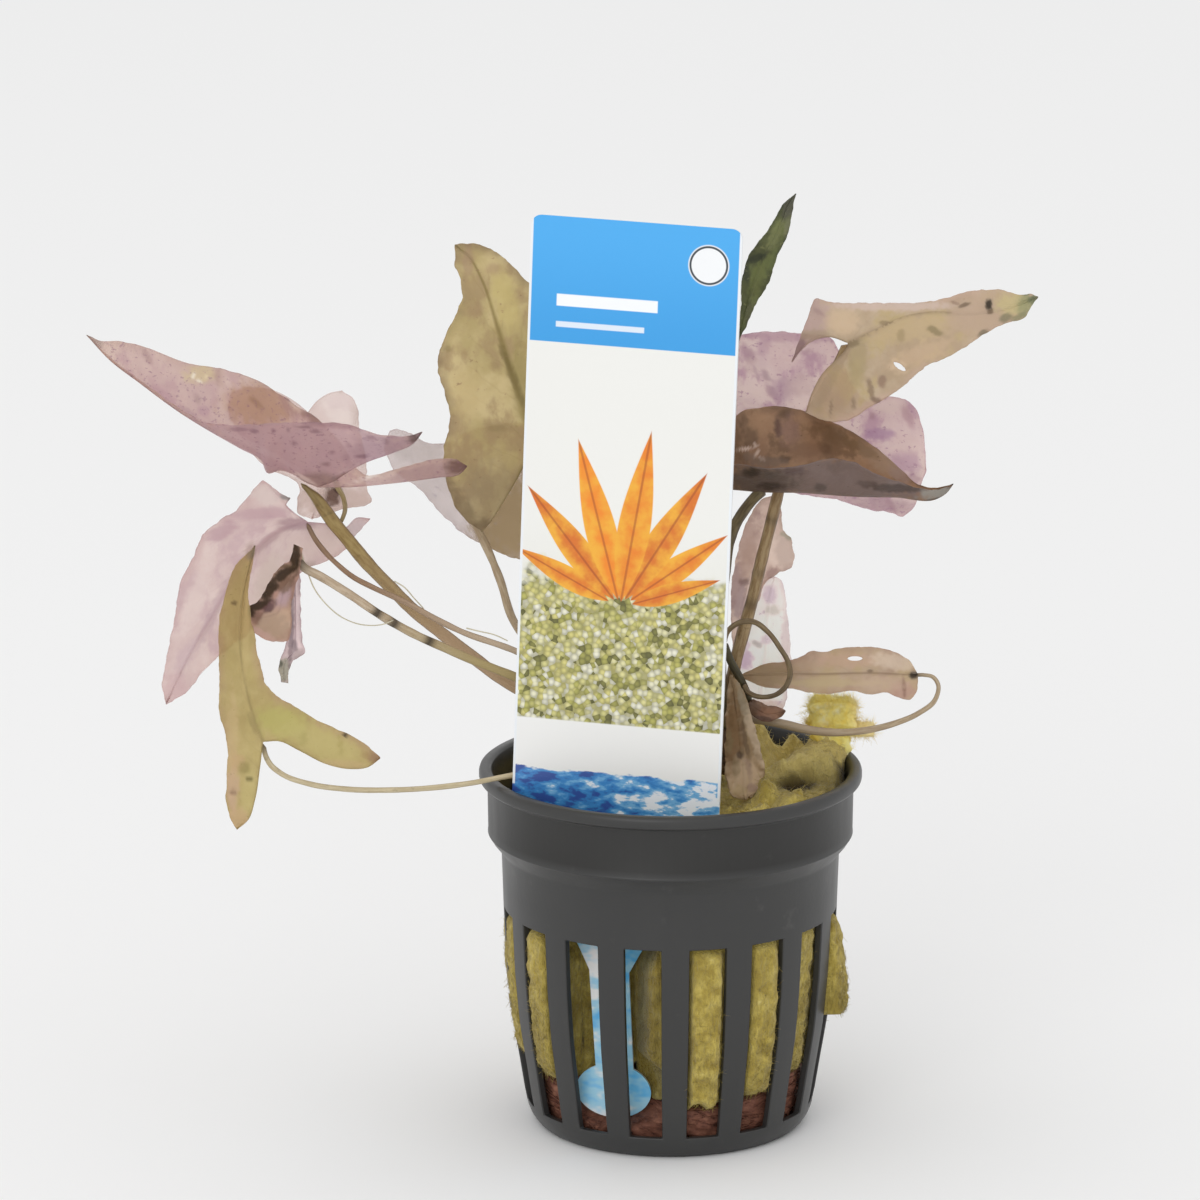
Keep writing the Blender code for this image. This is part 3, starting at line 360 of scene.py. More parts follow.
def curve(points, shares):
    """Places at shares of the chord length along a smooth run through the points: a cubic between each two,
    whose slope at a point is that of its neighbours."""
    at = np.asarray(points, float)
    knots = np.concatenate([[0], np.cumsum(np.linalg.norm(np.diff(at, axis=0), axis=1))])
    knots /= knots[-1]
    slopes = np.gradient(at, knots, axis=0)
    shares = np.asarray(shares, float)
    span = np.clip(np.searchsorted(knots, shares, "right") - 1, 0, len(knots) - 2)
    width = (knots[span + 1] - knots[span])[:, None]
    t = (shares - knots[span])[:, None] / width
    start = at[span] * (2 * t**3 - 3 * t**2 + 1) + slopes[span] * width * (t**3 - 2 * t**2 + t)
    return start + at[span + 1] * (3 * t**2 - 2 * t**3) + slopes[span + 1] * width * (t**3 - t**2)


def label_outline():
    """The label's edge, anticlockwise: an oval foot, a curved neck and shoulder, and round top corners."""
    neck, half = LABEL_NECK / 2, LABEL_WIDTH / 2
    reach = math.acos(neck / LABEL_FOOT_SIZE[0])
    turns = np.linspace(-math.pi - reach, reach, FOOT_STEPS)
    foot = np.stack([LABEL_FOOT_AT[0] + LABEL_FOOT_SIZE[0] * np.cos(turns),
                     LABEL_FOOT_AT[1] + LABEL_FOOT_SIZE[1] * np.sin(turns)], -1)
    side = np.array([(half + inward, up) for inward, up in LABEL_SIDE])
    side = curve(np.array([(*spot, 0) for spot in side]), np.linspace(0, 1, SIDE_STEPS))[:, :2]
    corner = np.linspace(0, math.pi / 2, CORNER_STEPS)
    right = np.stack([half - LABEL_CORNER * (1 - np.cos(corner)),
                      LABEL_TOP - LABEL_CORNER * (1 - np.sin(corner))], -1)
    left = right[::-1] * (-1, 1)
    return np.concatenate([foot, side[::-1], right, left, side * (-1, 1)])


label_frame = np.array(
    Matrix.Rotation(-LABEL_YAW, 3, "Z") @ Matrix.Rotation(math.pi / 2 - LABEL_BACK, 3, "X")
    @ Matrix.Rotation(-LABEL_TILT, 3, "Z")
)
outline = label_outline()
edge_count = len(outline)
plate = [np.column_stack([outline, np.full(edge_count, z)]) for z in (-LABEL_THICK / 2, LABEL_THICK / 2)]
plate = np.concatenate(plate)
label_points = plate @ label_frame.T + LABEL_PLACE
label_faces = [tuple(range(edge_count, 2 * edge_count)), tuple(range(edge_count - 1, -1, -1))]
ring = np.arange(edge_count)
beside = (ring + 1) % edge_count
label_faces += np.stack([ring, beside, beside + edge_count, ring + edge_count], -1).tolist()

HEADER_FOOT, PICTURE_FOOT, BAND_FOOT = 64.4, 9.9, 2.6
WATER_HEAD, CLOUD_TOP = BAND_FOOT + 1.0, -5.0
GRAVEL_HEAD, FAN_FOOT, PRINT_BORDER = 35.5, (-0.4, 27.0), 0.35
DISC_AT, DISC_RADIUS, DISC_LINE = (10.4, 76.9), 2.9, (2.45, 2.75)
HEADER_BARS = ((69.6, 71.3, -11.0, 3.4, 1.0), (66.6, 67.4, -11.0, 1.6, 0.8))
PICTURE_BLADES = ((-64, 9.5, 15.5, 4.4), (52, 10.5, 17.5, 5.0), (-40, 11.5, 20.5, 5.6), (30, 12.5, 22.5, 6.0),
                  (-16, 13.0, 24.0, 6.2), (8, 13.5, 25.5, 6.4), (70, 8.5, 13.5, 4.0))
printed, tree, shader = finish_of("printed_plastic", 0.32, 0.45)
print_place = carried(tree, "print")
across, up, face = axes(tree, print_place)


def step(value, edge, softness=0.12):
    """0 below an edge and 1 above it, with a soft change as wide as softness."""
    made = node(tree, "MapRange", {"interpolation_type": "SMOOTHSTEP"}, Value=value)
    made.inputs["From Min"].default_value = edge - softness
    made.inputs["From Max"].default_value = edge + softness
    return made.outputs["Result"]


def between(value, low, high, softness=0.12):
    """1 from a low edge to a high one, and 0 outside them."""
    return sum_of(tree, "MULTIPLY", step(value, low, softness),
                  sum_of(tree, "SUBTRACT", 1.0, step(value, high, softness)))


def pebbles(output):
    """A pattern of cells as big as grains of gravel: the colour of each, or the distance from its middle."""
    return node(tree, "TexVoronoi", Vector=print_place, Scale=1.25).outputs[output]


paper = mix(tree, step(up, 28.0, 14.0), tone(226, 226, 214), tone(238, 238, 234))
stone = node(tree, "SeparateColor", Color=pebbles("Color")).outputs["Red"]
stone_tint = ramp(tree, stone, (0.0, tone(120, 118, 60)), (0.18, tone(186, 182, 96)),
                  (0.4, tone(222, 216, 150)), (0.62, tone(238, 236, 214)), (0.85, tone(214, 206, 128)))
stone_shade = ramp(tree, pebbles("Distance"), (0.1, 1.0), (0.75, 0.55))
gravel = mix(tree, 1.0, stone_tint, stone_shade, "MULTIPLY")
gravel_edge = sum_of(tree, "ADD", up, sum_of(tree, "MULTIPLY", noise(tree, 0.28, 2.0, print_place), 9.0))
ground = sum_of(tree, "SUBTRACT", 1.0, step(gravel_edge, GRAVEL_HEAD, 1.6))
picture = mix(tree, ground, paper, gravel)


def printed_blade(picture, at, turn, length, width, tint, glow):
    """A plain lance-shaped blade in the picture: |y| < (1 - x squared)(0.72 - 0.28x)."""
    lens = node(tree, "Mapping", {"vector_type": "TEXTURE"}, Vector=print_place, Location=(*at, 0),
                Rotation=(0, 0, math.radians(turn)), Scale=(length / 2, width / 2, 1)).outputs["Vector"]
    lens = axes(tree, lens)
    side = sum_of(tree, "ABSOLUTE", lens[1])
    taper = sum_of(tree, "SUBTRACT", 1.0, sum_of(tree, "POWER", sum_of(tree, "ABSOLUTE", lens[0]), 2.0))
    reach = sum_of(tree, "MULTIPLY", taper, sum_of(tree, "MULTIPLY_ADD", lens[0], -0.28, 0.72))
    inside_blade = step(sum_of(tree, "SUBTRACT", reach, side), 0.02, 0.03)
    shade = sum_of(tree, "MULTIPLY_ADD", noise(tree, 0.35, 3.0, print_place), 0.9,
                   sum_of(tree, "MULTIPLY", side, 0.35))
    skin = mix(tree, step(shade, 0.58, 0.22), tone(*tint), tone(*glow))
    rib = sum_of(tree, "SUBTRACT", 1.0, step(side, 0.05, 0.03))
    skin = mix(tree, sum_of(tree, "MULTIPLY", rib, 0.55), skin, tone(150, 62, 16))
    return mix(tree, inside_blade, picture, skin)


for leaning, reach_up, length, width in PICTURE_BLADES:
    lean = math.radians(leaning)
    at = (FAN_FOOT[0] + reach_up * math.sin(lean), FAN_FOOT[1] + reach_up * math.cos(lean))
    warm = (leaning % 5) * 6
    picture = printed_blade(picture, at, 90 - leaning, length, width, (216 + warm, 112 + warm, 28),
                            (242, 178, 52))

band = mix(tree, step(up, PICTURE_FOOT), tone(240, 240, 238), picture)
swell = noise(tree, 0.32, 4.0, print_place, stretch=(0.8, 2.0, 1))
foam = sum_of(tree, "MULTIPLY_ADD", across, 0.007, swell)
water = ramp(tree, foam, (0.36, tone(52, 84, 160)), (0.46, tone(62, 138, 206)), (0.56, tone(120, 182, 228)),
             (0.62, tone(236, 242, 250)))
water_line = sum_of(tree, "ADD", up, sum_of(tree, "MULTIPLY", swell, 2.0))
in_water = sum_of(tree, "SUBTRACT", 1.0, step(water_line, WATER_HEAD))
band = mix(tree, in_water, band, water)
cloud = noise(tree, 0.17, 3.0, print_place, stretch=(0.8, 1.3, 1))
sky = ramp(tree, cloud, (0.34, tone(96, 196, 252)), (0.5, tone(170, 226, 252)), (0.62, tone(254, 255, 255)))
band = mix(tree, sum_of(tree, "SUBTRACT", 1.0, step(up, CLOUD_TOP)), band, sky)
header = mix(tree, step(up, 72.0, 10.0), tone(52, 158, 228), tone(70, 172, 240))
ring_away = node(tree, "VectorMath", {"operation": "DISTANCE"}, _0=print_place,
                 _1=(*DISC_AT, LABEL_THICK / 2))
ring_away = ring_away.outputs["Value"]
header = mix(tree, sum_of(tree, "SUBTRACT", 1.0, step(ring_away, DISC_RADIUS)), header, tone(244, 246, 248))
header = mix(tree, between(ring_away, *DISC_LINE, 0.06), header, tone(58, 66, 74))
for low, high, left, right, shine in HEADER_BARS:
    rule = sum_of(tree, "MULTIPLY", between(up, low, high, 0.08), between(across, left, right, 0.08))
    header = mix(tree, sum_of(tree, "MULTIPLY", rule, shine), header, tone(246, 249, 252))
face_print = mix(tree, step(up, HEADER_FOOT, 0.06), band, header)
border = step(sum_of(tree, "ABSOLUTE", across), LABEL_WIDTH / 2 - PRINT_BORDER, 0.06)
face_print = mix(tree, sum_of(tree, "MULTIPLY", border, step(up, 0.0)), face_print, tone(236, 240, 244))
back_print = mix(tree, noise(tree, 0.1, 2.0, print_place), tone(228, 232, 234), tone(238, 240, 240))
tree.links.new(mix(tree, step(face, 0.1, 0.05), back_print, face_print), shader.inputs["Base Color"])
for socket, value in (("Coat Weight", 0.25), ("Coat Roughness", 0.2)):
    shader.inputs[socket].default_value = value
label = piece("stake_label", label_points, label_faces, printed, ["label"], {"print": plate})
label.data.set_sharp_from_angle(angle=math.radians(30))


# Root mat
# The red-brown roots that have grown through to the foot of the pot, matted into a felt. It fills the pot
# from the floor up to the wool, and its loose ends lie round the wall where the slots show them.
MAT_LOW, MAT_HEAD = 1.45, 12.0
MAT_TURNS, MAT_ROWS = 320, 28
ROOT_COUNT, ROOT_STEPS, ROOT_LOWEST = 260, 9, 1.9
WOOL_FOOT = (8.0, 8.8, 10.5, 17.0, 10.5, 9.5, 9.0, 10.0, 11.0, 9.5, 9.0, 10.5, 11.5, 9.6, 13.3, 8.3)
CLEAR = 0.35
HALF_WIDTHS = ((-49.8, -3.0), (-48.8, 1.0), (-47.2, 4.2), (-44.2, 5.45), (-41.0, 4.2), (-39.0, 2.75),
               (-26.5, 2.9), (-23.1, 4.6), (-16.5, 8.4))


def waves(points, size, seed, octaves=3):
    """Smooth heights of about -1 to 1: sines in many seeded directions, each octave half as long and high."""
    random = np.random.default_rng(seed)
    total = np.zeros(points.shape[:-1])
    for octave in range(octaves):
        ways = random.normal(size=(10, 3))
        ways /= np.linalg.norm(ways, axis=1)[:, None]
        lengths = size * 0.5**octave * random.uniform(0.7, 1.5, 10)
        turns = points @ (ways * (math.tau / lengths)[:, None]).T + random.uniform(0, math.tau, 10)
        total += 0.5**octave * np.sin(turns).sum(-1) / 3.2
    return total / 1.6


def closed_grid(rows, columns):
    """Faces of a grid that closes on itself across its columns, with a pole added at each end of its rows."""
    down, across = np.meshgrid(np.arange(rows - 1), np.arange(columns), indexing="ij")
    here, beside = down * columns + across, down * columns + (across + 1) % columns
    faces = np.stack([here, beside, beside + columns, here + columns], -1).reshape(-1, 4).tolist()
    first, last = rows * columns, rows * columns + 1
    faces += [(first, (i + 1) % columns, i) for i in range(columns)]
    end = (rows - 1) * columns
    faces += [(last, end + i, end + (i + 1) % columns) for i in range(columns)]
    return faces


def strands(paths, radii):
    """Thin closed threads: each path carries a three-sided profile that narrows to a point at both ends."""
    paths = np.asarray(paths)
    count, steps = paths.shape[:2]
    way = np.gradient(paths, axis=1)
    way /= np.linalg.norm(way, axis=-1, keepdims=True) + 1e-9
    aside = np.cross(way, np.where(np.abs(way[..., 2:]) > 0.8, [1.0, 0, 0], [0, 0, 1.0]))
    aside /= np.linalg.norm(aside, axis=-1, keepdims=True) + 1e-9
    above = np.cross(way, aside)
    turn = math.tau * np.arange(3) / 3
    spread = aside[:, :, None] * np.cos(turn)[:, None] + above[:, :, None] * np.sin(turn)[:, None]
    taper = np.sin(np.linspace(0.12, math.pi - 0.12, steps)) ** 0.4
    width = np.asarray(radii)[:, None] * taper
    ring = paths[:, :, None] + spread * width[:, :, None, None]
    points = ring.reshape(-1, 3)
    base = (np.arange(count) * steps * 3)[:, None, None]
    row = (np.arange(steps - 1) * 3)[None, :, None]
    side = np.arange(3)[None, None, :]
    here, beside = base + row + side, base + row + (side + 1) % 3
    faces = np.stack([here, beside, beside + 3, here + 3], -1).reshape(-1, 4).tolist()
    first = (np.arange(count) * steps * 3)[:, None]
    faces += (first + [2, 1, 0]).tolist()
    faces += (first + (steps - 1) * 3 + [0, 1, 2]).tolist()
    return points, faces


def join(*parts):
    """The places and faces of several pieces of one mesh together."""
    points, faces, first = [], [], 0
    for some, theirs in parts:
        points.append(some)
        faces += [tuple(int(i) + first for i in face) for face in theirs]
        first += len(some)
    return np.concatenate(points), faces


def behind_label(places, extra):
    """Places in front of the label, and in sight over it, moved back to its plane; beside it they come
    forward again.

    A place hides the label lower down than it lies itself, by its distance ahead times the slope of the view.
    """
    local = (places - LABEL_PLACE) @ label_frame
    ahead = np.maximum(local[:, 2] + 0.6, 0)
    height = local[:, 1] - ahead * math.tan(PITCH)
    half = np.interp(height, *zip(*HALF_WIDTHS)) + 0.5
    middle = np.interp(height, (-41.0, -39.0), (LABEL_FOOT_AT[0], 0.0))
    beside = np.clip((np.abs(local[:, 0] - middle) - half) / 4.5, 0, 1)
    above = np.clip((local[:, 1] + 17.0) / 3.0, 0, 1)
    forward = np.maximum(beside**2 * (3 - 2 * beside), above)
    local[:, 2] -= np.where(ahead > 0, ahead * (1 - forward) + extra * (forward < 1), 0)
    return local @ label_frame.T + LABEL_PLACE


def mat_head(turns):
    """Height of the wool's foot at angles round the pot, where it is within the mat's reach."""
    slots = ((turns - SLOT_OFFSET) / PITCH_ANGLE - 0.5) % SLOTS
    return np.interp(slots, np.arange(SLOTS + 1), np.minimum([*WOOL_FOOT, WOOL_FOOT[0]], MAT_HEAD))


mat_turns = math.tau * np.arange(MAT_TURNS) / MAT_TURNS
mat_top = mat_head(mat_turns) - 0.7
levels = np.concatenate([[0.0, 0.0], np.linspace(0, 1, MAT_ROWS), [1.0, 1.0]])
shares = np.concatenate([[0.5, 0.9], np.ones(MAT_ROWS), [0.85, 0.4]])
mat_height = MAT_LOW + (mat_top[None] - MAT_LOW) * levels[:, None]
mat_radius = (wall_radius(np.maximum(mat_height, 1.6)) - WALL - CLEAR - 0.1) * shares[:, None]
mat = around(mat_turns[None], mat_radius, mat_height)
mat_lumps = waves(mat, 3.0, 11)
mat[..., :2] *= (1 - 0.014 * (1 + mat_lumps) * (shares[:, None] > 0.6))[..., None]
mat[..., 2] = np.maximum(mat[..., 2], MAT_LOW)
mat = behind_label(mat.reshape(-1, 3), 0.2 * np.abs(mat_lumps.ravel()))
mat_body = (np.concatenate([mat, [(0, 0, MAT_LOW), (0, 0, float(mat_top.min()) - 0.4)]]),
            closed_grid(len(levels), len(mat_turns)))
random = np.random.default_rng(12)
root_start = random.uniform(0, math.tau, ROOT_COUNT)
root_length = random.uniform(0.12, 0.6, ROOT_COUNT)
root_low = random.uniform(ROOT_LOWEST, 9.5, ROOT_COUNT)
along = np.linspace(0, 1, ROOT_STEPS)
root_turn = root_start[:, None] + root_length[:, None] * along
root_level = root_low[:, None] + random.normal(0, 1.6, ROOT_COUNT)[:, None] * along
root_level += 0.5 * np.sin(along * random.uniform(2, 7, ROOT_COUNT)[:, None] + root_start[:, None])
root_level = np.clip(root_level, ROOT_LOWEST, mat_head(root_turn) - 0.9)
root_radius = wall_radius(root_level) - WALL - CLEAR - 0.1 - random.uniform(0, 0.25, ROOT_COUNT)[:, None]
root_paths = around(root_turn, root_radius, root_level).reshape(-1, 3)
root_paths = behind_label(root_paths, 0.1).reshape(ROOT_COUNT, ROOT_STEPS, 3)
mat_points, mat_faces = join(mat_body, strands(root_paths, random.uniform(0.05, 0.14, ROOT_COUNT)))

red_roots, tree, shader = finish_of("red_roots", 0.7, 0.3)
tangle = noise(tree, 700, 5.0, stretch=(1, 1, 2.2))
root_tint = ramp(tree, tangle, (0.3, tone(88, 52, 42)), (0.5, tone(118, 76, 60)), (0.7, tone(140, 96, 76)))
tree.links.new(root_tint, shader.inputs["Base Color"])
bump(tree, shader, tangle, 0.0002, 0.6)
piece("root_felt", mat_points, mat_faces, red_roots, ["root_mat"], weld=1e-7)


# Wool
# A plug of olive-yellow mineral wool that the plant was raised in. It is packed into the pot, so a pad of it
# swells out of each slot, torn along its foot, and the label holds it back where the stake goes down. The
# loose fibres of the pads are a piece of their own.
WOOL_BULGE = (0.6, 0.5, -1.3, 2.3, 0.6, 0.5, 0.5, 0.6, 0.5, 0.6, 0.5, 0.6, 0.3, 0.35, -0.3, -1.5)
LOW_SWELL = (0.5, 0.3, 0, 1, 0, 0, 0, 0, 0, 0, 0, 0, 0.4, 0, 0, 0)
PAD_HALF = math.radians(5.95)
PAD_COLUMNS, CORE_COLUMNS = 16, 6
PAD_ROWS, CREST_ROWS = 44, 34
PAD_HEAD = SLOT_HEAD - 0.3
TORN_DEPTH, PAD_FUZZ, CREST_FUZZ = 0.55, 0.24, 0.6
NECK_HEIGHTS = (33.5, 36.0, 38.5, 40.5, 41.6, 42.9, 44.2, 46.0)
NECK_SIDE = ((33.0, 22.6), (40.6, 22.8), (43.0, 24.6), (44.0, 25.0), (52.0, 25.05))
CREST_LEVEL, CREST_RADIUS, CREST_DROP = 49.4, 25.15, 0.5
CREST_LEAN, LEAN_FROM = 0.9, (20.0, 52.4)
PAD_FIBRES, CREST_FIBRES = 6400, 4200
# The groove, its end, the gap along the wall and the stake mark where painted shade darkens the wool.
WOOL_GROOVE = ((18.3, -1.0), (3.4, 1.3))
GROOVE_END_SHADE = ((22.4, -1.4), (3.0, 2.4))
DUST_AND_LIGHT_HUMP = ((17.0, 3.0), (4.0, 4.0))
GAP_RADIUS, GAP_ENDS = 23.4, (-12, 3)
SHADE_BY_LABEL = (8.0, 20.0, 7.0)
CREST_FOOT = 46
WOOL_RISES = (
    ((22.0, 6.6), (4.8, 4.0), 6.0), ((12.6, 10.0), (2.1, 4.2), 7.2), ((17.6, 12.4), (4.0, 2.4), 3.2),
    ((17.8, 12.8), (0.8, 2.0), 2.0), ((18.4, 1.8), (5.6, 3.0), 3.6), (*WOOL_GROOVE, -1.3),
    ((17.0, 19.0), (5.0, 4.6), -4.0), ((25.8, -7.0), (1.7, 5.6), -6.0), ((13.6, -9.6), (1.9, 2.2), 4.6),
    ((5.7, -21.4), (3.6, 2.2), 2.6), ((12.4, -18.4), (3.4, 2.4), 2.9), ((17.6, -13.4), (2.8, 3.0), 3.4),
    ((21.6, -8.6), (2.0, 2.6), 1.8),
    ((-17.0, 6.0), (12.0, 14.0), -4.2), ((-9.0, -21.5), (14.0, 6.0), -3.4),
)


def bell(x, y, at, spread, power=2):
    """1 at a place and less with the distance from it, as a bell; a higher power flattens it along x."""
    return np.exp(-(((x - at[0]) / spread[0]) ** power) - ((y - at[1]) / spread[1]) ** 2)


def wool_top(x, y):
    """Height of the wool's upper side: a level, and a bell for each rise or hollow."""
    level = CREST_LEVEL + 0 * x
    for at, spread, rise in WOOL_RISES:
        level = level + rise * bell(x, y, at, spread)
    return level


def wool_shade_and_light(places):
    """Painted shade of the wool in its groove, in the gap along the wall at the right and by the label's
    stake, and how much paler its top is, as dust with painted light."""
    x, y, z = places.T
    top = np.clip((z - CREST_FOOT) / 2, 0, 1)
    # Painted shade in the groove, at its end and in the gap along the wall at the right.
    groove_shade = np.maximum(bell(x, y, *WOOL_GROOVE, 4), 0.5 * bell(x, y, *GROOVE_END_SHADE, 4))
    wall_gap_shade = np.clip((np.hypot(x, y) - GAP_RADIUS) / 1.2, 0, 1) * np.clip((x - 14) / 6, 0, 1)
    wall_gap_shade = wall_gap_shade * (y > GAP_ENDS[0]) * (y < GAP_ENDS[1])
    left, ahead, reach = SHADE_BY_LABEL
    by_label = 0.45 * np.clip(1.7 - np.hypot(x + left, y + ahead) / reach, 0, 1) * (z < CREST_FOOT)
    # Dust and painted light: the top is paler, most of all on the hump.
    dust_and_light = top * (0.4 + 0.3 * bell(x, y, *DUST_AND_LIGHT_HUMP)) * np.clip((y + 9) / 4, 0, 1)
    painted_shade = np.maximum(top * np.clip(1.1 * groove_shade + 0.9 * wall_gap_shade, 0, 1), by_label)
    return np.stack([painted_shade, dust_and_light, 0 * z], -1)


pad_steps = np.linspace(-1, 1, PAD_COLUMNS)
core_steps = np.linspace(0, 1, CORE_COLUMNS + 2)[1:-1]
wool_turns, pad_share = [], []
for middle in middles:
    wool_turns += list(middle + PAD_HALF * pad_steps)
    wool_turns += list(middle + PAD_HALF + (PITCH_ANGLE - 2 * PAD_HALF) * core_steps)
    pad_share += list(pad_steps) + [2.0] * CORE_COLUMNS
wool_turns, pad_share = np.array(wool_turns), np.array(pad_share)
slot_number = np.repeat(np.arange(SLOTS), PAD_COLUMNS + CORE_COLUMNS)
torn = waves(np.stack([20 * np.sin(wool_turns), 20 * np.cos(wool_turns), 0 * wool_turns], -1), 3.2, 21)
foot = np.array(WOOL_FOOT)[slot_number] + TORN_DEPTH * torn
rise = np.append(np.linspace(0, 1, PAD_ROWS), 1.02)
heights = foot[None] + (PAD_HEAD - foot[None]) * np.minimum(rise, 1)[:, None]
low_swell = np.array(LOW_SWELL)[slot_number][None]
even_rise, low_rise = 0.45 + 2.2 * rise * np.clip(1 - rise, 0, 1), 1.25 * np.clip(1 - rise, 0, 1) ** 0.7
swell = (np.array(WOOL_BULGE)[slot_number] * (1 + 0.2 * torn))[None] * (
    even_rise[:, None] * (1 - low_swell) + low_rise[:, None] * low_swell)
pad_round = np.clip(1 - np.abs(pad_share) ** 4, 0, 1) ** 0.5
foot_end = np.clip(rise[:, None] * (9 + 30 * low_swell), 0, 1)
pad_ends = np.minimum(foot_end, np.clip((1.0 - rise) * 16, 0, 1)[:, None]) ** 0.5
core_radius = wall_radius(heights) - WALL - CLEAR
reach = core_radius + (WALL + CLEAR - 0.15 + swell) * pad_round[None] * pad_ends
side = around(wool_turns[None], reach, heights)
neck_radii = np.interp(NECK_HEIGHTS, *zip(*NECK_SIDE))
neck = around(wool_turns[None], neck_radii[:, None], np.array(NECK_HEIGHTS)[:, None])
crest_shares = np.append(1.0, np.linspace(0.985, 0.06, CREST_ROWS))
crest = around(wool_turns[None], CREST_RADIUS * crest_shares[:, None], 0.0)
crest[..., 2] = wool_top(crest[..., 0], crest[..., 1])
lean_share = np.clip((crest[..., 2] - LEAN_FROM[1]) / 1.2, 0, 1)
crest[..., 0] += CREST_LEAN * lean_share * np.clip((crest[..., 0] - LEAN_FROM[0]) / 4, 0, 1)
crest[0, :, 2] -= CREST_DROP
under = [around(wool_turns, (wall_radius(foot) - WALL - CLEAR) * share, foot - drop)
         for share, drop in ((0.3, 0.2), (0.7, 0.4), (0.93, 0.35))]
wool = np.concatenate([np.array(under), side, neck, crest])
fuzz = waves(wool, 2.1, 22, 4)
fuzz_size = np.concatenate([np.zeros(len(under)), np.clip(pad_ends.mean(1), 0.35, 1) * PAD_FUZZ,
                            np.zeros(len(neck)), np.full(len(crest), CREST_FUZZ)])
out_way = wool.copy()
out_way[..., 2] = 0
out_way /= np.linalg.norm(out_way, axis=-1, keepdims=True)
is_crest = np.arange(len(wool)) >= len(wool) - len(crest)
wool += np.where(is_crest[:, None, None], [0, 0, 1.0], out_way) * (fuzz * fuzz_size[:, None])[..., None]
wool = wool.reshape(-1, 3)
wool = behind_label(wool, 0.3 * np.abs(fuzz.reshape(-1)))
wool_rows = len(wool) // len(wool_turns)
poles = [(0, 0, float(foot.min()) - 0.3), (0, 0, float(wool_top(0.0, 0.0)))]
wool_body = (np.concatenate([wool, poles]), closed_grid(wool_rows, len(wool_turns)))

mineral_wool, tree, shader = finish_of("mineral_wool", 0.9, 0.15)
felt = noise(tree, 420, 6.0)
clumps = noise(tree, 130, 3.0)
fibre_grain = noise(tree, 2600, 4.0, stretch=(1, 1, 0.35))
wool_tint = ramp(tree, felt, (0.28, tone(144, 122, 52)), (0.45, tone(178, 157, 74)),
                 (0.6, tone(203, 183, 96)), (0.78, tone(228, 213, 138)))
wool_tint = mix(tree, ramp(tree, clumps, (0.35, 0.6), (0.6, 0.0)), wool_tint, tone(146, 128, 60))
wool_tint = mix(tree, ramp(tree, fibre_grain, (0.35, 0.4), (0.6, 0.0)), wool_tint, tone(140, 122, 62))
painted_shade, dust_and_light, _ = axes(tree, carried(tree, "painted_shade"))
# Dust and painted light: the top, most of all the hump, goes pale.
wool_tint = mix(tree, dust_and_light, wool_tint, tone(234, 214, 140))
# Painted shade: the groove, the gap along the wall and the wool by the stake go dark brown.
wool_tint = mix(tree, painted_shade, wool_tint, tone(58, 46, 18))
tree.links.new(wool_tint, shader.inputs["Base Color"])
bump(tree, shader, sum_of(tree, "ADD", felt, fibre_grain), 0.0005)
shader.inputs["Sheen Weight"].default_value = 0.2


def wool_fibres(roots, outward, seed, length, lift, radius, steps=5):
    """Loose fibres: each leaves its root in a random way, lifted by a share of its length, and bends."""
    random = np.random.default_rng(seed)
    number = len(roots)
    lie = np.cross(outward, random.normal(size=(number, 3)))
    lie /= np.linalg.norm(lie, axis=1, keepdims=True) + 1e-9
    bend = random.normal(size=(number, 3)) * 0.25
    t = np.linspace(-0.5, 1, steps)[None, :, None]
    spans = (length * random.uniform(0.5, 1.3, number))[:, None, None]
    raised = lift * np.maximum(t, 0) ** 1.5 + 0.02
    arcs = lie[:, None] * t + outward[:, None] * raised + bend[:, None] * t**2
    return strands(roots[:, None] + arcs * spans, radius * random.uniform(0.6, 1.4, number))


wool_grid = wool.reshape(wool_rows, len(wool_turns), 3)
random = np.random.default_rng(23)
pad_columns_at = np.flatnonzero(pad_round > 0.3)
pad_rows_at = (len(under), len(under) + PAD_ROWS - 1)
pick_rows = np.minimum(random.integers(*pad_rows_at, PAD_FIBRES), random.integers(*pad_rows_at, PAD_FIBRES))
pick_columns = random.choice(pad_columns_at, PAD_FIBRES)
pad_roots = wool_grid[pick_rows, pick_columns]
pad_out = pad_roots * (1, 1, 0)
pad_out /= np.linalg.norm(pad_out, axis=1, keepdims=True)
pad_out = pad_out + random.normal(size=pad_out.shape) * 0.2
crest_start = wool_rows - len(crest)
pick_rows = (CREST_ROWS * (1 - np.sqrt(random.uniform(0, 1, CREST_FIBRES)))).astype(int)
pick_rows = np.clip(pick_rows, 0, CREST_ROWS - 1) + crest_start + 1
pick_columns = random.integers(0, len(wool_turns), CREST_FIBRES)
top_roots = wool_grid[pick_rows, pick_columns]
from_label = (top_roots - LABEL_PLACE) @ label_frame
top_roots = top_roots[(from_label[:, 2] < -1.5) | (from_label[:, 0] > LABEL_WIDTH / 2 + 1)]
top_out = np.tile([0.0, 0.0, 1.0], (len(top_roots), 1)) + random.normal(size=top_roots.shape) * 0.35
slot_fibres = wool_fibres(pad_roots, pad_out, seed=24, length=0.8, lift=0.1, radius=0.022)
crest_fibres = wool_fibres(top_roots, top_out, seed=25, length=1.3, lift=0.2, radius=0.024)
for name, parts, node_names in (
        ("wool_plug", (wool_body, crest_fibres), ["wool"]),
        ("slot_fibres", (slot_fibres,), ())):
    points, faces = join(*parts)
    piece(name, points, faces, mineral_wool, node_names, {"painted_shade": wool_shade_and_light(points)},
          weld=1e-7)


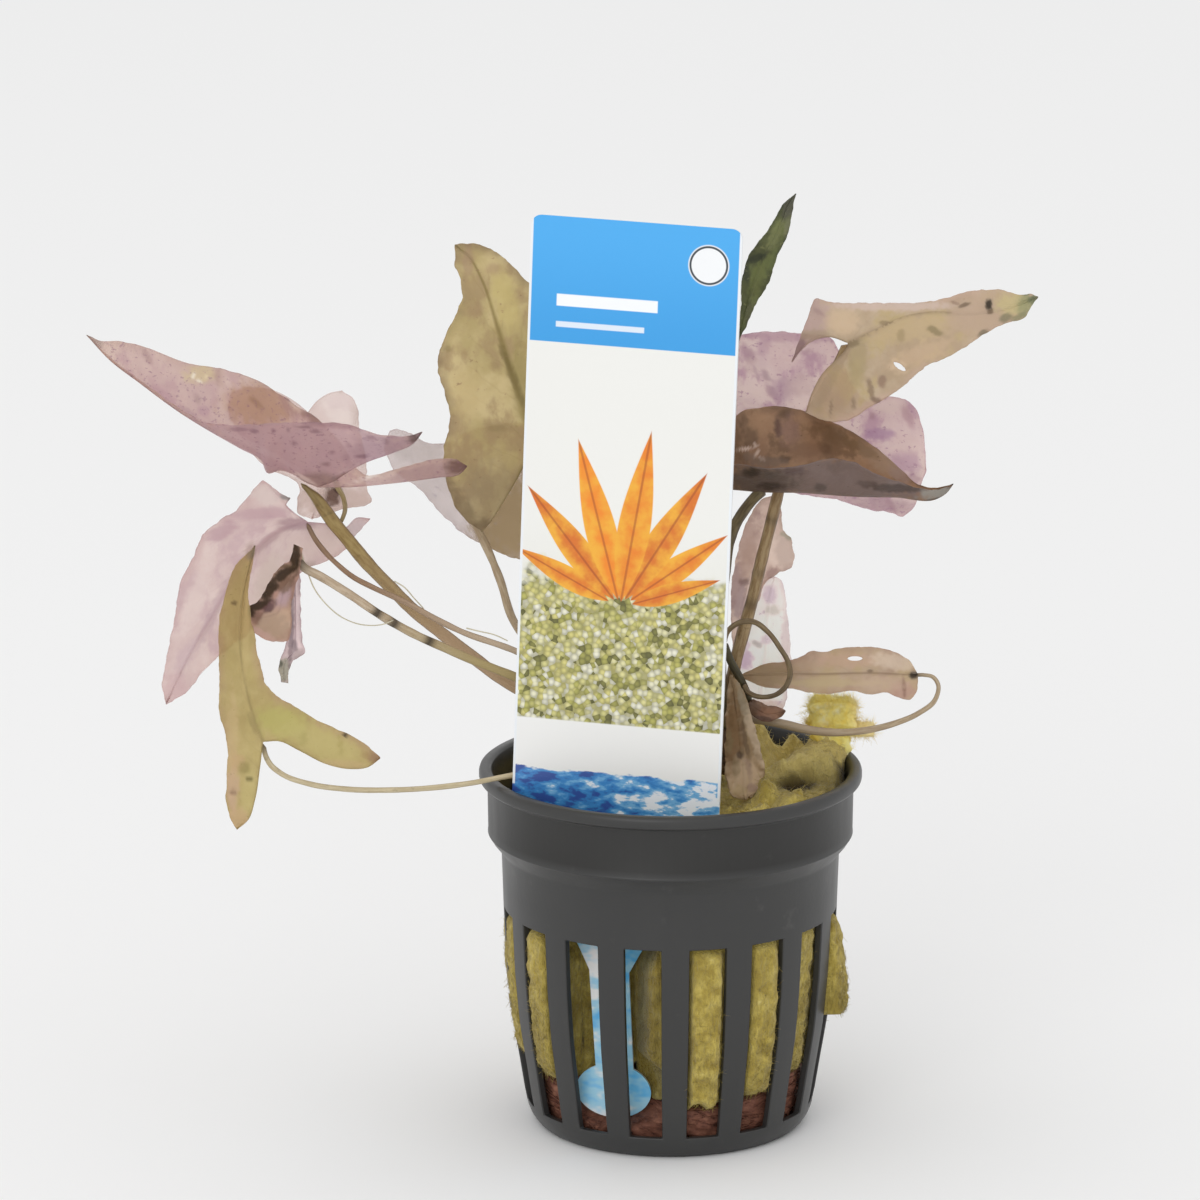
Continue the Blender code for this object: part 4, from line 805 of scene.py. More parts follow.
# Torn tuft
# A frayed scrap of the same wool, paler, that lies over the rim at the right of the pot. It is a ragged lump,
# with a tail that hangs over the lip and a foot that goes down into the wool, and loose fibres stand off all
# three.
TUFT_LUMPS = (((23.4, 8.0, 58.2), (3.9, 2.6, 2.7), 3200, 1.1), ((27.6, 8.0, 56.0), (2.2, 1.2, 1.2), 500, 0.9),
              ((23.2, 7.2, 53.9), (3.2, 2.6, 2.4), 600, 0.9))
TUFT_COLUMNS, TUFT_ROWS = 80, 40
TUFT_CORE, TUFT_RAGGED = 0.86, 0.12
TAIL_FROM, TAIL_TO = 0.0255, 0.0275


def ball_grid(columns, rows):
    """Angles round and up a ball, from just over its lowest place to just under its highest."""
    return np.meshgrid(math.tau * np.arange(columns) / columns, np.linspace(-1.5, 1.5, rows), indexing="xy")


turn, tilt = ball_grid(TUFT_COLUMNS, TUFT_ROWS)
boxy = 1 / (np.abs(np.cos(turn)) ** 4 + np.abs(np.sin(turn)) ** 4) ** 0.25
high = np.sign(tilt) * np.abs(np.sin(tilt)) ** 0.6
lump = np.stack([np.cos(tilt) ** 0.45 * np.cos(turn) * boxy, np.cos(tilt) ** 0.45 * np.sin(turn) * boxy,
                 high], -1)
tuft_parts = []
for number, (middle, size, fibre_count, length) in enumerate(TUFT_LUMPS):
    ragged = 1 + TUFT_RAGGED * waves(lump * 4 + 9 * number, 3.4, 31, 6)
    ragged = lump * ragged[..., None] * size * TUFT_CORE + middle
    body = ragged.reshape(-1, 3)
    ends = [ragged[0].mean(0) - (0, 0, 0.1), ragged[-1].mean(0) + (0, 0, 0.1)]
    random = np.random.default_rng(32 + number)
    picked = random.integers(0, len(body), fibre_count)
    outward = (body[picked] - middle) / size
    outward /= np.linalg.norm(outward, axis=1, keepdims=True)
    outward = outward + random.normal(size=outward.shape) * 0.3
    roots = body[picked] * 0.985 + np.array(middle) * 0.015
    tuft_parts += [(np.concatenate([body, ends]), closed_grid(TUFT_ROWS, TUFT_COLUMNS)),
                   wool_fibres(roots, outward, seed=36 + number, length=length, lift=0.5, radius=0.016)]

pale_wool, tree, shader = finish_of("pale_wool", 0.95, 0.1)
tease, drift = noise(tree, 420, 6.0), noise(tree, 150, 3.0)
pale_tint = ramp(tree, tease, (0.3, tone(254, 232, 116)), (0.5, tone(255, 242, 150)),
                 (0.72, tone(255, 252, 214)))
pale_tint = mix(tree, ramp(tree, drift, (0.5, 0.0), (0.66, 0.7)), pale_tint, tone(246, 216, 92))
tuft_x = axes(tree, node(tree, "TexCoord").outputs["Object"])["X"]
tail_share = slide(tree, tuft_x, TAIL_FROM, TAIL_TO, 0.0, 0.7)
pale_tint = mix(tree, tail_share, pale_tint, tone(255, 238, 190))
tree.links.new(pale_tint, shader.inputs["Base Color"])
bump(tree, shader, tease, 0.00015)
glow_through = node(tree, "BsdfTranslucent", Color=pale_tint)
soft = node(tree, "MixShader", Fac=0.15, _1=shader.outputs[0], _2=glow_through.outputs[0])
tree.links.new(soft.outputs[0], tree.nodes["Material Output"].inputs["Surface"])
tuft_points, tuft_faces = join(*tuft_parts)
piece("wool_scrap", tuft_points, tuft_faces, pale_wool, ["wool_tuft"], weld=1e-7)


# Crown
# The knob of rootstock, as big as a hazelnut's kernel, that every stalk grows from. It sits in the top of the
# wool behind the label, dark and rough.
CROWN_PLACE = np.array([7.2, 3.0, 54.2])
CROWN_RADIUS, CROWN_HALF_HEIGHT = 3.4, 3.6
CROWN_COLUMNS, CROWN_ROWS = 72, 40
turn, tilt = ball_grid(CROWN_COLUMNS, CROWN_ROWS)
knob = np.stack([np.cos(tilt) * np.cos(turn), np.cos(tilt) * np.sin(turn), np.sin(tilt)], -1)
knob *= (1 + 0.07 * waves(knob * 3, 2.2, 41, 4))[..., None]
knob = knob * (CROWN_RADIUS, CROWN_RADIUS, CROWN_HALF_HEIGHT) * 0.98 + CROWN_PLACE
rootstock, tree, shader = finish_of("rootstock", 0.75, 0.3)
bark = noise(tree, 900, 5.0)
bark_tint = ramp(tree, bark, (0.3, tone(46, 34, 24)), (0.55, tone(92, 70, 50)), (0.75, tone(132, 106, 76)))
tree.links.new(bark_tint, shader.inputs["Base Color"])
bump(tree, shader, bark, 0.0004)
piece("root_crown", np.concatenate([knob.reshape(-1, 3), [knob[0].mean(0), knob[-1].mean(0)]]),
      closed_grid(CROWN_ROWS, CROWN_COLUMNS), rootstock, ["crown"])


# Leaf blades
# Thin arrow-shaped blades, translucent and a little wet, lighter between the veins. They grow flat, and here
# some are folded along the midrib, some hang, and some have holes and dark tips.
BLADE_THICK = 0.16
HALF_ROWS, LONG_ROWS, HALF_COLUMNS = (26, 92), (34, 130), 30
TO_SPOTS = (0.14, 0.14, 0.0)
FRAME_MIDDLE = FRAME_SIDE / 2
WORN_SIZE, BLOT_EDGE_SIZE, CREASE_WIDTH = 2.2, 1.0, 0.07


def seen(spots):
    """Places in millimetres of spots (across, down, depth): each pixel's ray, followed to its depth."""
    spots = np.asarray(spots, float)
    ray = AHEAD + (spots[..., :1] - FRAME_MIDDLE) / FOCUS * [1.0, 0, 0]
    ray = ray - (spots[..., 1:2] - FRAME_MIDDLE) / FOCUS * UPWARD
    return EYE + ray * (spots[..., 2:] - EYE[1]) / ray[..., 1:2]


def half_blade(sinus, rib, margin, level, side, blots=(), rows=HALF_ROWS, columns=HALF_COLUMNS):
    """Half a blade: spots on a grid, for each its share along and its signed share across, and its own blots.

    The inner edge runs down the sinus to the base and along the midrib to the tip; the margin runs from the
    same lobe's tip round to the leaf's tip, and its point number level lies beside the base. Columns go
    straight across.
    """
    steps = np.linalg.norm(np.diff(np.asarray(margin, float), axis=0), axis=1)
    split = steps[:level].sum() / steps.sum()
    lobe, rest = np.linspace(0, 1, rows[0]), np.linspace(0, 1, rows[1])
    inner = np.concatenate([curve(sinus, lobe)[:-1], curve(rib, rest)])
    outer = curve(margin, np.concatenate([split * lobe[:-1], split + (1 - split) * rest]))
    share = np.linspace(0, 1, columns)[None, :, None]
    run = np.concatenate([lobe[:-1] - 1, rest])[:, None] + 0 * share[..., 0]
    return inner[:, None] * (1 - share) + outer[:, None] * share, run, side * share[..., 0] + 0 * run, blots


def strip_blade(left, right, blots=(), rows=100, columns=40, low=-1.0):
    """A blade without lobes, or a half of it where low is 0: straight columns between its left edge, or its
    midrib, and its right edge, both run from the base to the tip."""
    run = np.linspace(0, 1, rows)
    share = np.linspace(0, 1, columns)[None, :, None]
    spots = curve(left, run)[:, None] * (1 - share) + curve(right, run)[:, None] * share
    return spots, run[:, None] + 0 * share[..., 0], low + (1 - low) * share[..., 0] + 0 * run[:, None], blots


def from_oval(spots, across, down, half_wide, half_high, turn):
    """Distances of spots from an oval's middle, 1 on its edge; the oval is turned clockwise by degrees."""
    turn = math.radians(turn)
    x, y = spots[..., 0] - across, spots[..., 1] - down
    return np.hypot((x * math.cos(turn) + y * math.sin(turn)) / half_wide,
                    (y * math.cos(turn) - x * math.sin(turn)) / half_high)


def blade(name, halves, finish, seed, ripple=0.5, ripple_size=9.0, cup=0.0, crease=0.25,
          blots=(), holes=(), thick=BLADE_THICK, worn=0.9):
    """A leaf blade from grids of spots: rippled towards its margin, cupped, creased at the veins, and made a
    closed shell by giving it its thickness along its normals.

    A blot (across, down, half width, half height, turn, tint, depth) paints a ragged oval of it, and a hole
    (across, down, half width, half height, turn) is a torn oval without it. The blade replaces the leaf of
    its own name.
    """
    points, faces, places, paints, covers, first = [], [], [], [], [], 0
    for spots, run, across, own in halves:
        side = np.abs(across)
        flat = spots * TO_SPOTS
        spots = spots.copy()
        spots[..., 0] += worn * waves(flat, WORN_SIZE, seed + 100) * side**5
        spots[..., 1] += worn * waves(flat, WORN_SIZE, seed + 200) * side**5
        spots[..., 2] += ripple * waves(flat, ripple_size, seed) * side**1.5 + cup * (1 - side**2)
        spots[..., 2] -= crease * np.exp(-((side / CREASE_WIDTH) ** 2))
        rough = waves(flat, BLOT_EDGE_SIZE, seed + 300, 2)
        paint, cover = np.zeros(spots.shape), np.zeros(spots.shape[:2])
        for *oval, tint, depth in (*own, *blots):
            share = np.clip((1 - from_oval(spots, *oval)) / 0.8 + 0.5 + 0.3 * rough, 0, 1)
            share = depth * share**2 * (3 - 2 * share)
            paint = paint * (1 - share[..., None]) + np.array(tone(*tint)[:3]) * share[..., None]
            cover = cover * (1 - share) + share
        rows, columns = spots.shape[:2]
        index = np.arange(rows * columns).reshape(rows, columns)
        quads = np.stack([index[:-1, :-1], index[:-1, 1:], index[1:, 1:], index[1:, :-1]], -1).reshape(-1, 4)
        spots = spots.reshape(-1, 3)
        for hole in holes:
            gone = from_oval(spots[quads].mean(1), *hole) < 1
            rim = np.intersect1d(quads[gone], quads[~gone])
            away = spots[rim, :2] - hole[:2]
            spots[rim, :2] = hole[:2] + away / from_oval(spots[rim], *hole)[:, None]
            quads = quads[~gone]
        faces += (quads + first).tolist()
        points.append(seen(spots))
        span = points[-1].reshape(rows, columns, 3)
        edge = (1 - side) * np.linalg.norm(span[:, :1] - span[:, -1:], axis=-1)
        places.append(np.stack([run, across, edge], -1).reshape(-1, 3))
        paints.append(paint.reshape(-1, 3))
        covers.append(np.stack([cover, 0 * cover, 0 * cover], -1).reshape(-1, 3))
        first += rows * columns
    made = piece(name, np.concatenate(points), faces, finish, [name.replace("blade", "leaf")],
                 {"blade": np.concatenate(places), "paint": np.concatenate(paints),
                  "cover": np.concatenate(covers)},
                 weld=2e-6)
    shell = made.modifiers.new("thickness", "SOLIDIFY")
    shell.thickness = thick / 1000
    shell.offset = 0.0
    shell.use_even_offset = False
    return made


def leaf_finish(name, light, deep, margin_tint, rib_tint, see, flecks=(), clouds=(), vein=0.35, gloss=0.42,
                mottle=170):
    """A leaf's skin: two tones mottled together, then clouds (tint, level, scale), a tint along the margin,
    veins, the blots painted on it, and flecks (tint, level, scale).

    Light passes straight through by the share see at each of its two sides, and is scattered through it as
    well. The tones are those of the leaf before white, so they are raised by what its two sides keep back.
    """
    made, tree, shader = finish_of(name, gloss, 0.35)
    kept = 1.08 * see**2 + 0.83 * (1 - see) * (1 + 0.5 * see**2) + 0.075

    run, across, edge = axes(tree, carried(tree, "blade"))
    skin = mix(tree, ramp(tree, noise(tree, mottle, 4.0), (0.36, 0.0), (0.64, 1.0)), tone(*light),
               tone(*deep))
    if clouds:
        tint, level, scale = clouds
        drift = noise(tree, scale, 4.0, stretch=(1, 1, 0.7))
        skin = mix(tree, ramp(tree, drift, (level - 0.06, 0.0), (level + 0.1, 0.85)), skin, tone(*tint))
    near_edge = slide(tree, edge, 0.05, 1.5, 1.0, 0.0)
    faded = sum_of(tree, "MULTIPLY", near_edge, ramp(tree, noise(tree, 260, 3.0), (0.35, 0.2), (0.6, 1.0)))
    skin = mix(tree, sum_of(tree, "MULTIPLY", faded, 0.75), skin, tone(*margin_tint))
    side = sum_of(tree, "ABSOLUTE", across)
    wander = sum_of(tree, "MULTIPLY", noise(tree, 300, 2.0), 0.6)
    rank = sum_of(tree, "SUBTRACT", sum_of(tree, "MULTIPLY", run, 6.0), sum_of(tree, "MULTIPLY", side, 2.0))
    rank = sum_of(tree, "ADD", rank, wander)
    line = sum_of(tree, "ABSOLUTE", sum_of(tree, "SUBTRACT", sum_of(tree, "FRACT", rank), 0.5))
    side_vein = slide(tree, line, 0.0, 0.07, 1.0, 0.0)
    side_vein = sum_of(tree, "MULTIPLY", side_vein, sum_of(tree, "SUBTRACT", 0.85, side))
    midrib = slide(tree, side, 0.01, 0.07, 1.0, 0.0)
    veins = sum_of(tree, "MAXIMUM", midrib, sum_of(tree, "MULTIPLY", side_vein, 0.3))
    skin = mix(tree, sum_of(tree, "MULTIPLY", veins, vein), skin, tone(*rib_tint))
    cover = axes(tree, carried(tree, "cover"))[0]
    paint = node(tree, "Attribute", {"attribute_name": "paint"}).outputs["Color"]
    skin = mix(tree, 1.0, mix(tree, cover, skin, (0, 0, 0, 1)), paint, "ADD")
    if flecks:
        tint, level, scale = flecks
        spots = noise(tree, scale, 4.0, stretch=(1.0, 1.0, 1.5))
        skin = mix(tree, ramp(tree, spots, (level, 0.0), (level + 0.09, 0.7)), skin, tone(*tint))
    skin = node(tree, "HueSaturation", Color=skin, Saturation=0.86).outputs[0]
    skin = node(tree, "VectorMath", {"operation": "SCALE"}, _0=skin, Scale=1 / kept).outputs[0]
    skin = node(tree, "VectorMath", {"operation": "MINIMUM"}, _0=skin, _1=(0.97, 0.97, 0.97)).outputs[0]
    tree.links.new(skin, shader.inputs["Base Color"])
    crinkle = sum_of(tree, "MULTIPLY_ADD", noise(tree, 250, 2.0), 2.5, noise(tree, 750, 3.0))
    bump(tree, shader, sum_of(tree, "MULTIPLY_ADD", veins, -0.6, crinkle), 0.0002, 0.7)
    through = node(tree, "BsdfTranslucent", Color=skin)
    scattered = node(tree, "MixShader", Fac=0.25, _1=shader.outputs[0], _2=through.outputs[0])
    lens = node(tree, "BsdfTransparent", Color=node(tree, "Gamma", Color=skin, Gamma=0.5).outputs[0])
    clear = node(tree, "MixShader", Fac=see, _1=scattered.outputs[0], _2=lens.outputs[0])
    tree.links.new(clear.outputs[0], tree.nodes["Material Output"].inputs["Surface"])
    return made


# Leaves on the left
# Five leaves reach out of the pot to the left on long stalks. The longest is folded along its midrib with the
# fold down, the round one is behind it, the olive one hangs in front of the drooping one, and the crumpled
# one is in two folds.
mauve_skin = leaf_finish(
    "mauve_leaf", (214, 190, 178), (203, 175, 170), (200, 172, 160), (180, 148, 144), 0.6,
    ((160, 122, 138), 0.58, 1500), ((198, 166, 166), 0.54, 320), 0.25)
pale_skin = leaf_finish(
    "pale_round_leaf", (238, 222, 216), (230, 210, 204), (206, 184, 176), (206, 182, 176), 0.76, vein=0.3)
droop_skin = leaf_finish(
    "drooping_leaf", (224, 204, 198), (214, 190, 186), (204, 172, 170), (186, 150, 154), 0.66,
    clouds=((206, 178, 180), 0.54, 240), vein=0.7)
olive_skin = leaf_finish(
    "olive_leaf", (194, 176, 116), (180, 160, 98), (180, 150, 112), (148, 128, 76), 0.5,
    ((152, 136, 72), 0.66, 1000), ((190, 172, 108), 0.56, 300), 0.5)
crumpled_skin = leaf_finish(
    "crumpled_leaf", (196, 166, 140), (176, 144, 122), (188, 152, 138), (140, 108, 84), 0.5,
    ((150, 116, 92), 0.66, 900))
lilac_skin = leaf_finish(
    "lilac_fold", (228, 208, 208), (212, 192, 194), (160, 138, 142), (150, 128, 138), 0.5, vein=0.5)

arrow_base, arrow_tip = (318, 487, -8), (87, 335, -13)
keel = (arrow_base, (304, 481, -8.3), (293, 474, -8.5), (280, 470, -8.7), (268, 473, -8.9), (262, 461, -9),
        (240, 448, -9.5), (210, 431, -10), (175, 409, -11), (140, 383, -12), (110, 360, -12.5), arrow_tip)
band_blots = (
    (305, 447, 116, 36, 7, (198, 170, 176), 0.8), (340, 425, 40, 3, 4, (172, 136, 142), 0.6),
    (374, 449, 30, 13, -10, (180, 148, 156), 0.65),
    (318, 481, 20, 8, 0, (154, 126, 116), 0.6), (238, 429, 12, 1.8, 0, (166, 132, 146), 0.6),
    (255, 431, 4, 1.8, 0, (144, 108, 128), 0.6), (274, 430, 2.4, 2, 0, (140, 104, 122), 0.7),
    (289, 429, 1.2, 3, 10, (140, 106, 122), 0.6), (304, 427, 8, 1.3, 0, (140, 104, 116), 0.65),
    (315, 431, 5, 1.8, 0, (140, 104, 116), 0.6), (294, 443, 3, 2, 0, (148, 112, 124), 0.6),
    (331, 452, 2, 2, 0, (148, 112, 124), 0.6), (362, 456, 7, 1.8, 0, (140, 102, 118), 0.65),
    (350, 445, 2.5, 3.5, 0, (156, 118, 130), 0.5), (370, 437, 4, 2, 0, (152, 114, 124), 0.6),
    (386, 441, 2, 3, 0, (152, 118, 126), 0.5), (326, 464, 3, 2.5, 0, (150, 116, 120), 0.6),
    (345, 475, 12, 2.5, -18, (146, 116, 110), 0.6), (417, 437, 8, 6, -30, (124, 100, 98), 0.85),
    # The pale streak along the keel near the base, at (306, 479), is a painted highlight.
    (255, 446, 44, 3, 28, (206, 182, 184), 0.7), (306, 479, 14, 2, 28, (224, 208, 200), 0.8),
)
far_blots = (
    # The three small pale ovals at (193, 376), (199, 381) and (206, 377), in the yellow patch, are painted
    # glints.
    (200, 374, 16, 9, 0, (208, 190, 148), 0.75), (193, 376, 1.6, 3, 20, (240, 234, 220), 0.7),
    (199, 381, 3, 1.4, 30, (240, 234, 220), 0.7), (206, 377, 1.4, 3, 0, (226, 210, 172), 0.7),
    # The tan oval at (258, 405) is painted shade where the round leaf behind shows through.
    (258, 405, 34, 21, 6, (190, 156, 132), 0.95), (256, 403, 3, 9, -50, (160, 124, 94), 0.5),
    (147, 356, 3, 9, -25, (182, 150, 146), 0.7), (219, 377, 4.5, 11, -8, (184, 152, 142), 0.7),
    (288, 405, 6, 14, -30, (178, 142, 138), 0.6), (313, 417, 12, 6, 30, (158, 124, 116), 0.7),
    (296, 403, 8, 6, 30, (218, 200, 184), 0.7), (165, 396, 16, 4, 35, (190, 154, 160), 0.7),
    (197, 398, 3, 6, -25, (178, 148, 146), 0.6), (204, 411, 6, 5, 0, (186, 150, 160), 0.6),
    (186, 412, 14, 4, 32, (188, 156, 160), 0.7), (222, 400, 4, 30, 0, (210, 184, 172), 0.5),
    (430, 473, 44, 8, -9, (188, 158, 154), 0.85), (461, 467, 12, 8, 0, (136, 100, 96), 0.85),
    # The pale streak at (374, 475), along the far lobe's edge, is a painted highlight.
    (374, 475, 22, 1.8, -22, (232, 220, 212), 0.85), (95, 343, 8, 6, 35, (176, 154, 144), 0.7),
)
near_half = half_blade(
    ((422, 432, -15), (413, 444, -14), (395, 452, -12.8), (365, 463, -11), (348, 472, -9.5), (334, 481, -8.6),
     arrow_base), keel,
    ((422, 432, -15), (410, 436, -15.5), (390, 436, -15.6), (375, 434, -15.5), (360, 429, -15.3),
     (345, 424, -15), (320, 423, -15), (285, 423, -14.6), (250, 425, -14), (222, 425, -13.2),
     (205, 423, -12.6), (190, 415, -12.4), (165, 399, -12.5), (140, 381, -12.6), (110, 358.5, -12.9),
     arrow_tip), 6, -1, band_blots)
far_half = half_blade(
    ((467, 466, -3.5), (460, 474, -3.7), (440, 477, -4), (418, 480, -5), (383, 484, -6), (345, 487, -7.2),
     arrow_base), keel,
    ((467, 466, -3.5), (455, 459, -3), (431, 460, -2.5), (405, 467, -2.5), (385, 473, -2.3), (368, 476, -2),
     (338, 440, -1), (320, 421, -1), (297, 406, -1.5), (275, 391, -2), (252, 378, -3.5), (215, 368, -5.5),
     (180, 361, -8), (150, 349, -9.5), (120, 341, -11.5), (100, 341, -12.5), arrow_tip), 6, 1, far_blots)
blade("blade_left_arrow", [near_half, far_half], mauve_skin, 51, 0.3, worn=0.6)

notch, point = (308, 412, 8), (312, 519, 1)
round_rib = (notch, (321, 447, 5.5), (322, 485, 3), point)
round_left = half_blade(
    ((244, 387, 9), (272, 390, 9), (294, 401, 8.5), notch), round_rib,
    ((244, 387, 9), (231, 394, 9), (229, 412, 8.5), (240, 436, 7), (268, 468, 5), (299, 487, 2.5),
     (298, 500, 2), (297, 512, 1.5), point), 2, -1)
round_right = half_blade(
    ((342, 391, 9), (328, 394, 9), (317, 401, 8.5), notch), round_rib,
    ((342, 391, 9), (353, 398, 9), (358, 412, 8.3), (359, 428, 7.5), (366, 460, 5.5), (367, 487, 4),
     (371, 501, 3), (347, 508, 1.5), (325, 514, 1), point), 2, 1)
blade("blade_left_round", [round_left, round_right], pale_skin, 52, 0.35, blots=(
    (335, 500, 40, 14, 0, (206, 180, 168), 0.7), (333, 496, 8.5, 9, 0, (122, 92, 78), 0.96),
    (338, 490, 4, 3, 0, (90, 64, 54), 0.9), (340, 402, 14, 8, 0, (230, 210, 208), 0.5)))

droop_base, droop_tip = (308, 522, -10), (166, 704, -13)
droop_rib = (droop_base, (285, 528, -11), (267, 538, -11.8), (248, 558, -12.5), (214, 612, -13),
             (188, 657, -13), droop_tip)
droop_upper = half_blade(
    ((290, 498, -6), (286, 505, -7.5), (294, 513, -9), droop_base), droop_rib,
    ((290, 498, -6), (276, 491, -5), (262, 481, -4.5), (254, 490, -5.2), (246, 500, -6), (238, 509, -7),
     (220, 520, -8), (203, 535, -9), (193, 558, -9.5), (180, 585, -10), (174, 620, -10.5), (167, 656, -11.5),
     (162, 688, -12.5), droop_tip), 5, -1)
droop_lower = half_blade(
    ((370, 519, -2.5), (357, 518, -3), (345, 528, -4.5), (328, 524, -7), droop_base), droop_rib,
    ((370, 519, -2.5), (356, 535, -3), (345, 550, -4), (325, 561, -6), (308, 568, -8), (288, 582, -10.5),
     (270, 604, -13), (250, 632, -14), (220, 655, -14), (202, 672, -13.8), (187, 692, -13.3),
     droop_tip), 4, 1)
blade("blade_left_drooping", [droop_upper, droop_lower], droop_skin, 53, 0.4, blots=(
    (264, 495, 16, 10, 25, (220, 204, 198), 0.7), (286, 497, 6, 3, 20, (158, 150, 146), 0.85),
    (262, 514, 34, 6, -6, (198, 164, 170), 0.7), (222, 532, 16, 7, -28, (192, 156, 164), 0.7),
    (296, 524, 18, 6, 0, (178, 144, 150), 0.75), (268, 541, 22, 4, -42, (186, 152, 154), 0.6),
    (214, 612, 5, 40, 24, (196, 168, 172), 0.6), (186, 655, 7, 18, 32, (206, 180, 184), 0.6),
    (176, 688, 12, 14, 0, (210, 180, 180), 0.7), (196, 600, 10, 34, 18, (226, 208, 202), 0.5),
    (267, 578, 10, 24, 20, (216, 198, 188), 0.7), (316, 545, 30, 16, -10, (222, 200, 192), 0.6),
    (355, 530, 13, 9, -25, (206, 188, 188), 0.8), (306, 566, 10, 5, 0, (186, 168, 156), 0.6),
    (250, 552, 5, 10, 20, (172, 142, 128), 0.5)))

olive_base, olive_tip = (263, 742, -21.5), (255, 546, -25)
olive_rib = (olive_base, (251, 708, -22.5), (243, 672, -23), (240, 618, -23.5), (247, 575, -24.2), olive_tip)
olive_left = half_blade(
    ((237, 829, -24), (248, 820, -24), (255, 800, -23.5), (260, 768, -22.5), olive_base), olive_rib,
    ((237, 829, -24), (230, 817, -24.5), (226, 797, -24.5), (228, 770, -24.5), (227, 742, -24.5),
     (220, 714, -25), (220, 680, -25), (219, 640, -25), (220, 614, -25), (224, 598, -25), (232, 574, -25),
     (243, 557, -25), olive_tip), 4, -1)
olive_right = half_blade(
    ((380, 758, -17), (368, 767, -17.5), (350, 769, -18), (326, 764, -19), (300, 751, -20), (278, 741, -21),
     olive_base), olive_rib,
    ((380, 758, -17), (366, 744, -17), (350, 735, -17.5), (322, 722, -18.5), (298, 709, -19.6),
     (280, 698, -20.6), (266, 685, -21.5), (261, 668, -22.5), (256, 642, -23.5), (250, 615, -24),
     (248, 592, -24.5), (252, 566, -24.8), olive_tip), 4, 1)
blade("blade_left_olive", [olive_left, olive_right], olive_skin, 54, 0.25, blots=(
    (282, 722, 26, 14, 10, (186, 178, 98), 0.8), (320, 742, 40, 14, 22, (192, 180, 112), 0.6),
    (240, 600, 14, 44, 0, (176, 154, 96), 0.6), (246, 640, 3, 50, 2, (196, 176, 116), 0.6),
    (252, 552, 7, 8, 0, (158, 142, 120), 0.7), (232, 745, 6, 50, 0, (200, 176, 126), 0.6),
    (248, 790, 7, 26, 8, (196, 182, 118), 0.6), (233, 790, 6, 22, 0, (198, 166, 140), 0.6),
    (238, 818, 10, 10, 0, (196, 164, 124), 0.6), (237, 762, 8, 8, 0, (196, 164, 118), 0.6),
    (376, 758, 7, 7, 0, (158, 122, 88), 0.8), (366, 755, 4, 4, 0, (164, 132, 82), 0.6),
    (346, 735, 2.4, 2, 0, (76, 62, 44), 0.9), (233, 603, 3, 2, 0, (112, 90, 56), 0.8),
    (249, 779, 4, 2.5, 10, (112, 100, 44), 0.8), (244, 768, 6, 6, 0, (152, 138, 72), 0.6),
    (233, 792, 3.5, 3, 0, (148, 116, 88), 0.7), (340, 745, 2, 10, 0, (172, 156, 84), 0.5),
    (303, 740, 3, 8, 10, (172, 160, 92), 0.5), (253, 724, 3, 14, -20, (160, 140, 86), 0.6),
    (345, 764, 22, 4, 4, (196, 170, 122), 0.5)))

BARK_BROWN = (78, 60, 42)
fold = ((294, 544, -19), (291, 558, -18.4), (276, 571, -18.2), (266, 588, -18.4), (258, 601, -18.8),
        (248, 608, -19.5))
hem = ((302, 548, -16.2), (300, 570, -16.2), (292, 598, -16.3), (291, 622, -16.5), (288, 640, -16.8),
       (272, 641, -17), (256, 634, -18), (250, 624, -19), (248, 610, -19.5))
blade("blade_left_crumpled", [strip_blade(fold, hem, rows=90, columns=50)], crumpled_skin, 55,
      0.5, 5.0, crease=0.0, blots=(
          (272, 598, 30, 14, -40, (190, 154, 140), 0.8), (284, 596, 6, 12, 30, (186, 160, 168), 0.7),
          (270, 625, 18, 14, 0, (180, 154, 130), 0.8), (262, 634, 14, 4, 30, (200, 164, 154), 0.7),
          (285, 583, 8, 10, 30, (134, 104, 80), 0.8), (268, 606, 9, 5, -30, (104, 70, 76), 0.85),
          (256, 617, 6, 7, 0, (140, 106, 92), 0.7), (295, 558, 5, 16, 6, BARK_BROWN, 0.98),
          (284, 573, 14, 5, -40, BARK_BROWN, 0.98), (270, 589, 13, 5.5, -58, BARK_BROWN, 0.98),
          (258, 605, 12, 5, -28, BARK_BROWN, 0.98), (250, 610, 5, 6, 0, BARK_BROWN, 0.98),
          (286, 566, 8, 2, 0, (110, 88, 58), 0.6)))
inner_fold = ((290, 573, -15.4), (291, 605, -15.2), (289, 632, -15), (284, 650, -15), (279, 665, -15),
              (281, 682, -15))
outer_fold = ((300, 573, -14.2), (300, 605, -13.8), (302, 637, -13.8), (304, 653, -14), (291, 662, -14.5),
              (288, 683, -14.8))
blade("blade_left_crumpled_fold", [strip_blade(inner_fold, outer_fold)], lilac_skin, 56, 0.4,
      4.0, blots=(
          (284, 671, 7, 13, 0, (174, 168, 152), 0.95), (280, 664, 2.5, 4, 0, (92, 92, 78), 0.8),
          (291, 640, 2.4, 28, 3, (136, 114, 120), 0.7), (292, 600, 2.4, 28, 0, (150, 132, 134), 0.6),
          (298, 655, 6, 6, 0, (176, 158, 156), 0.6), (294, 646, 3, 6, 0, (140, 122, 128), 0.6)))


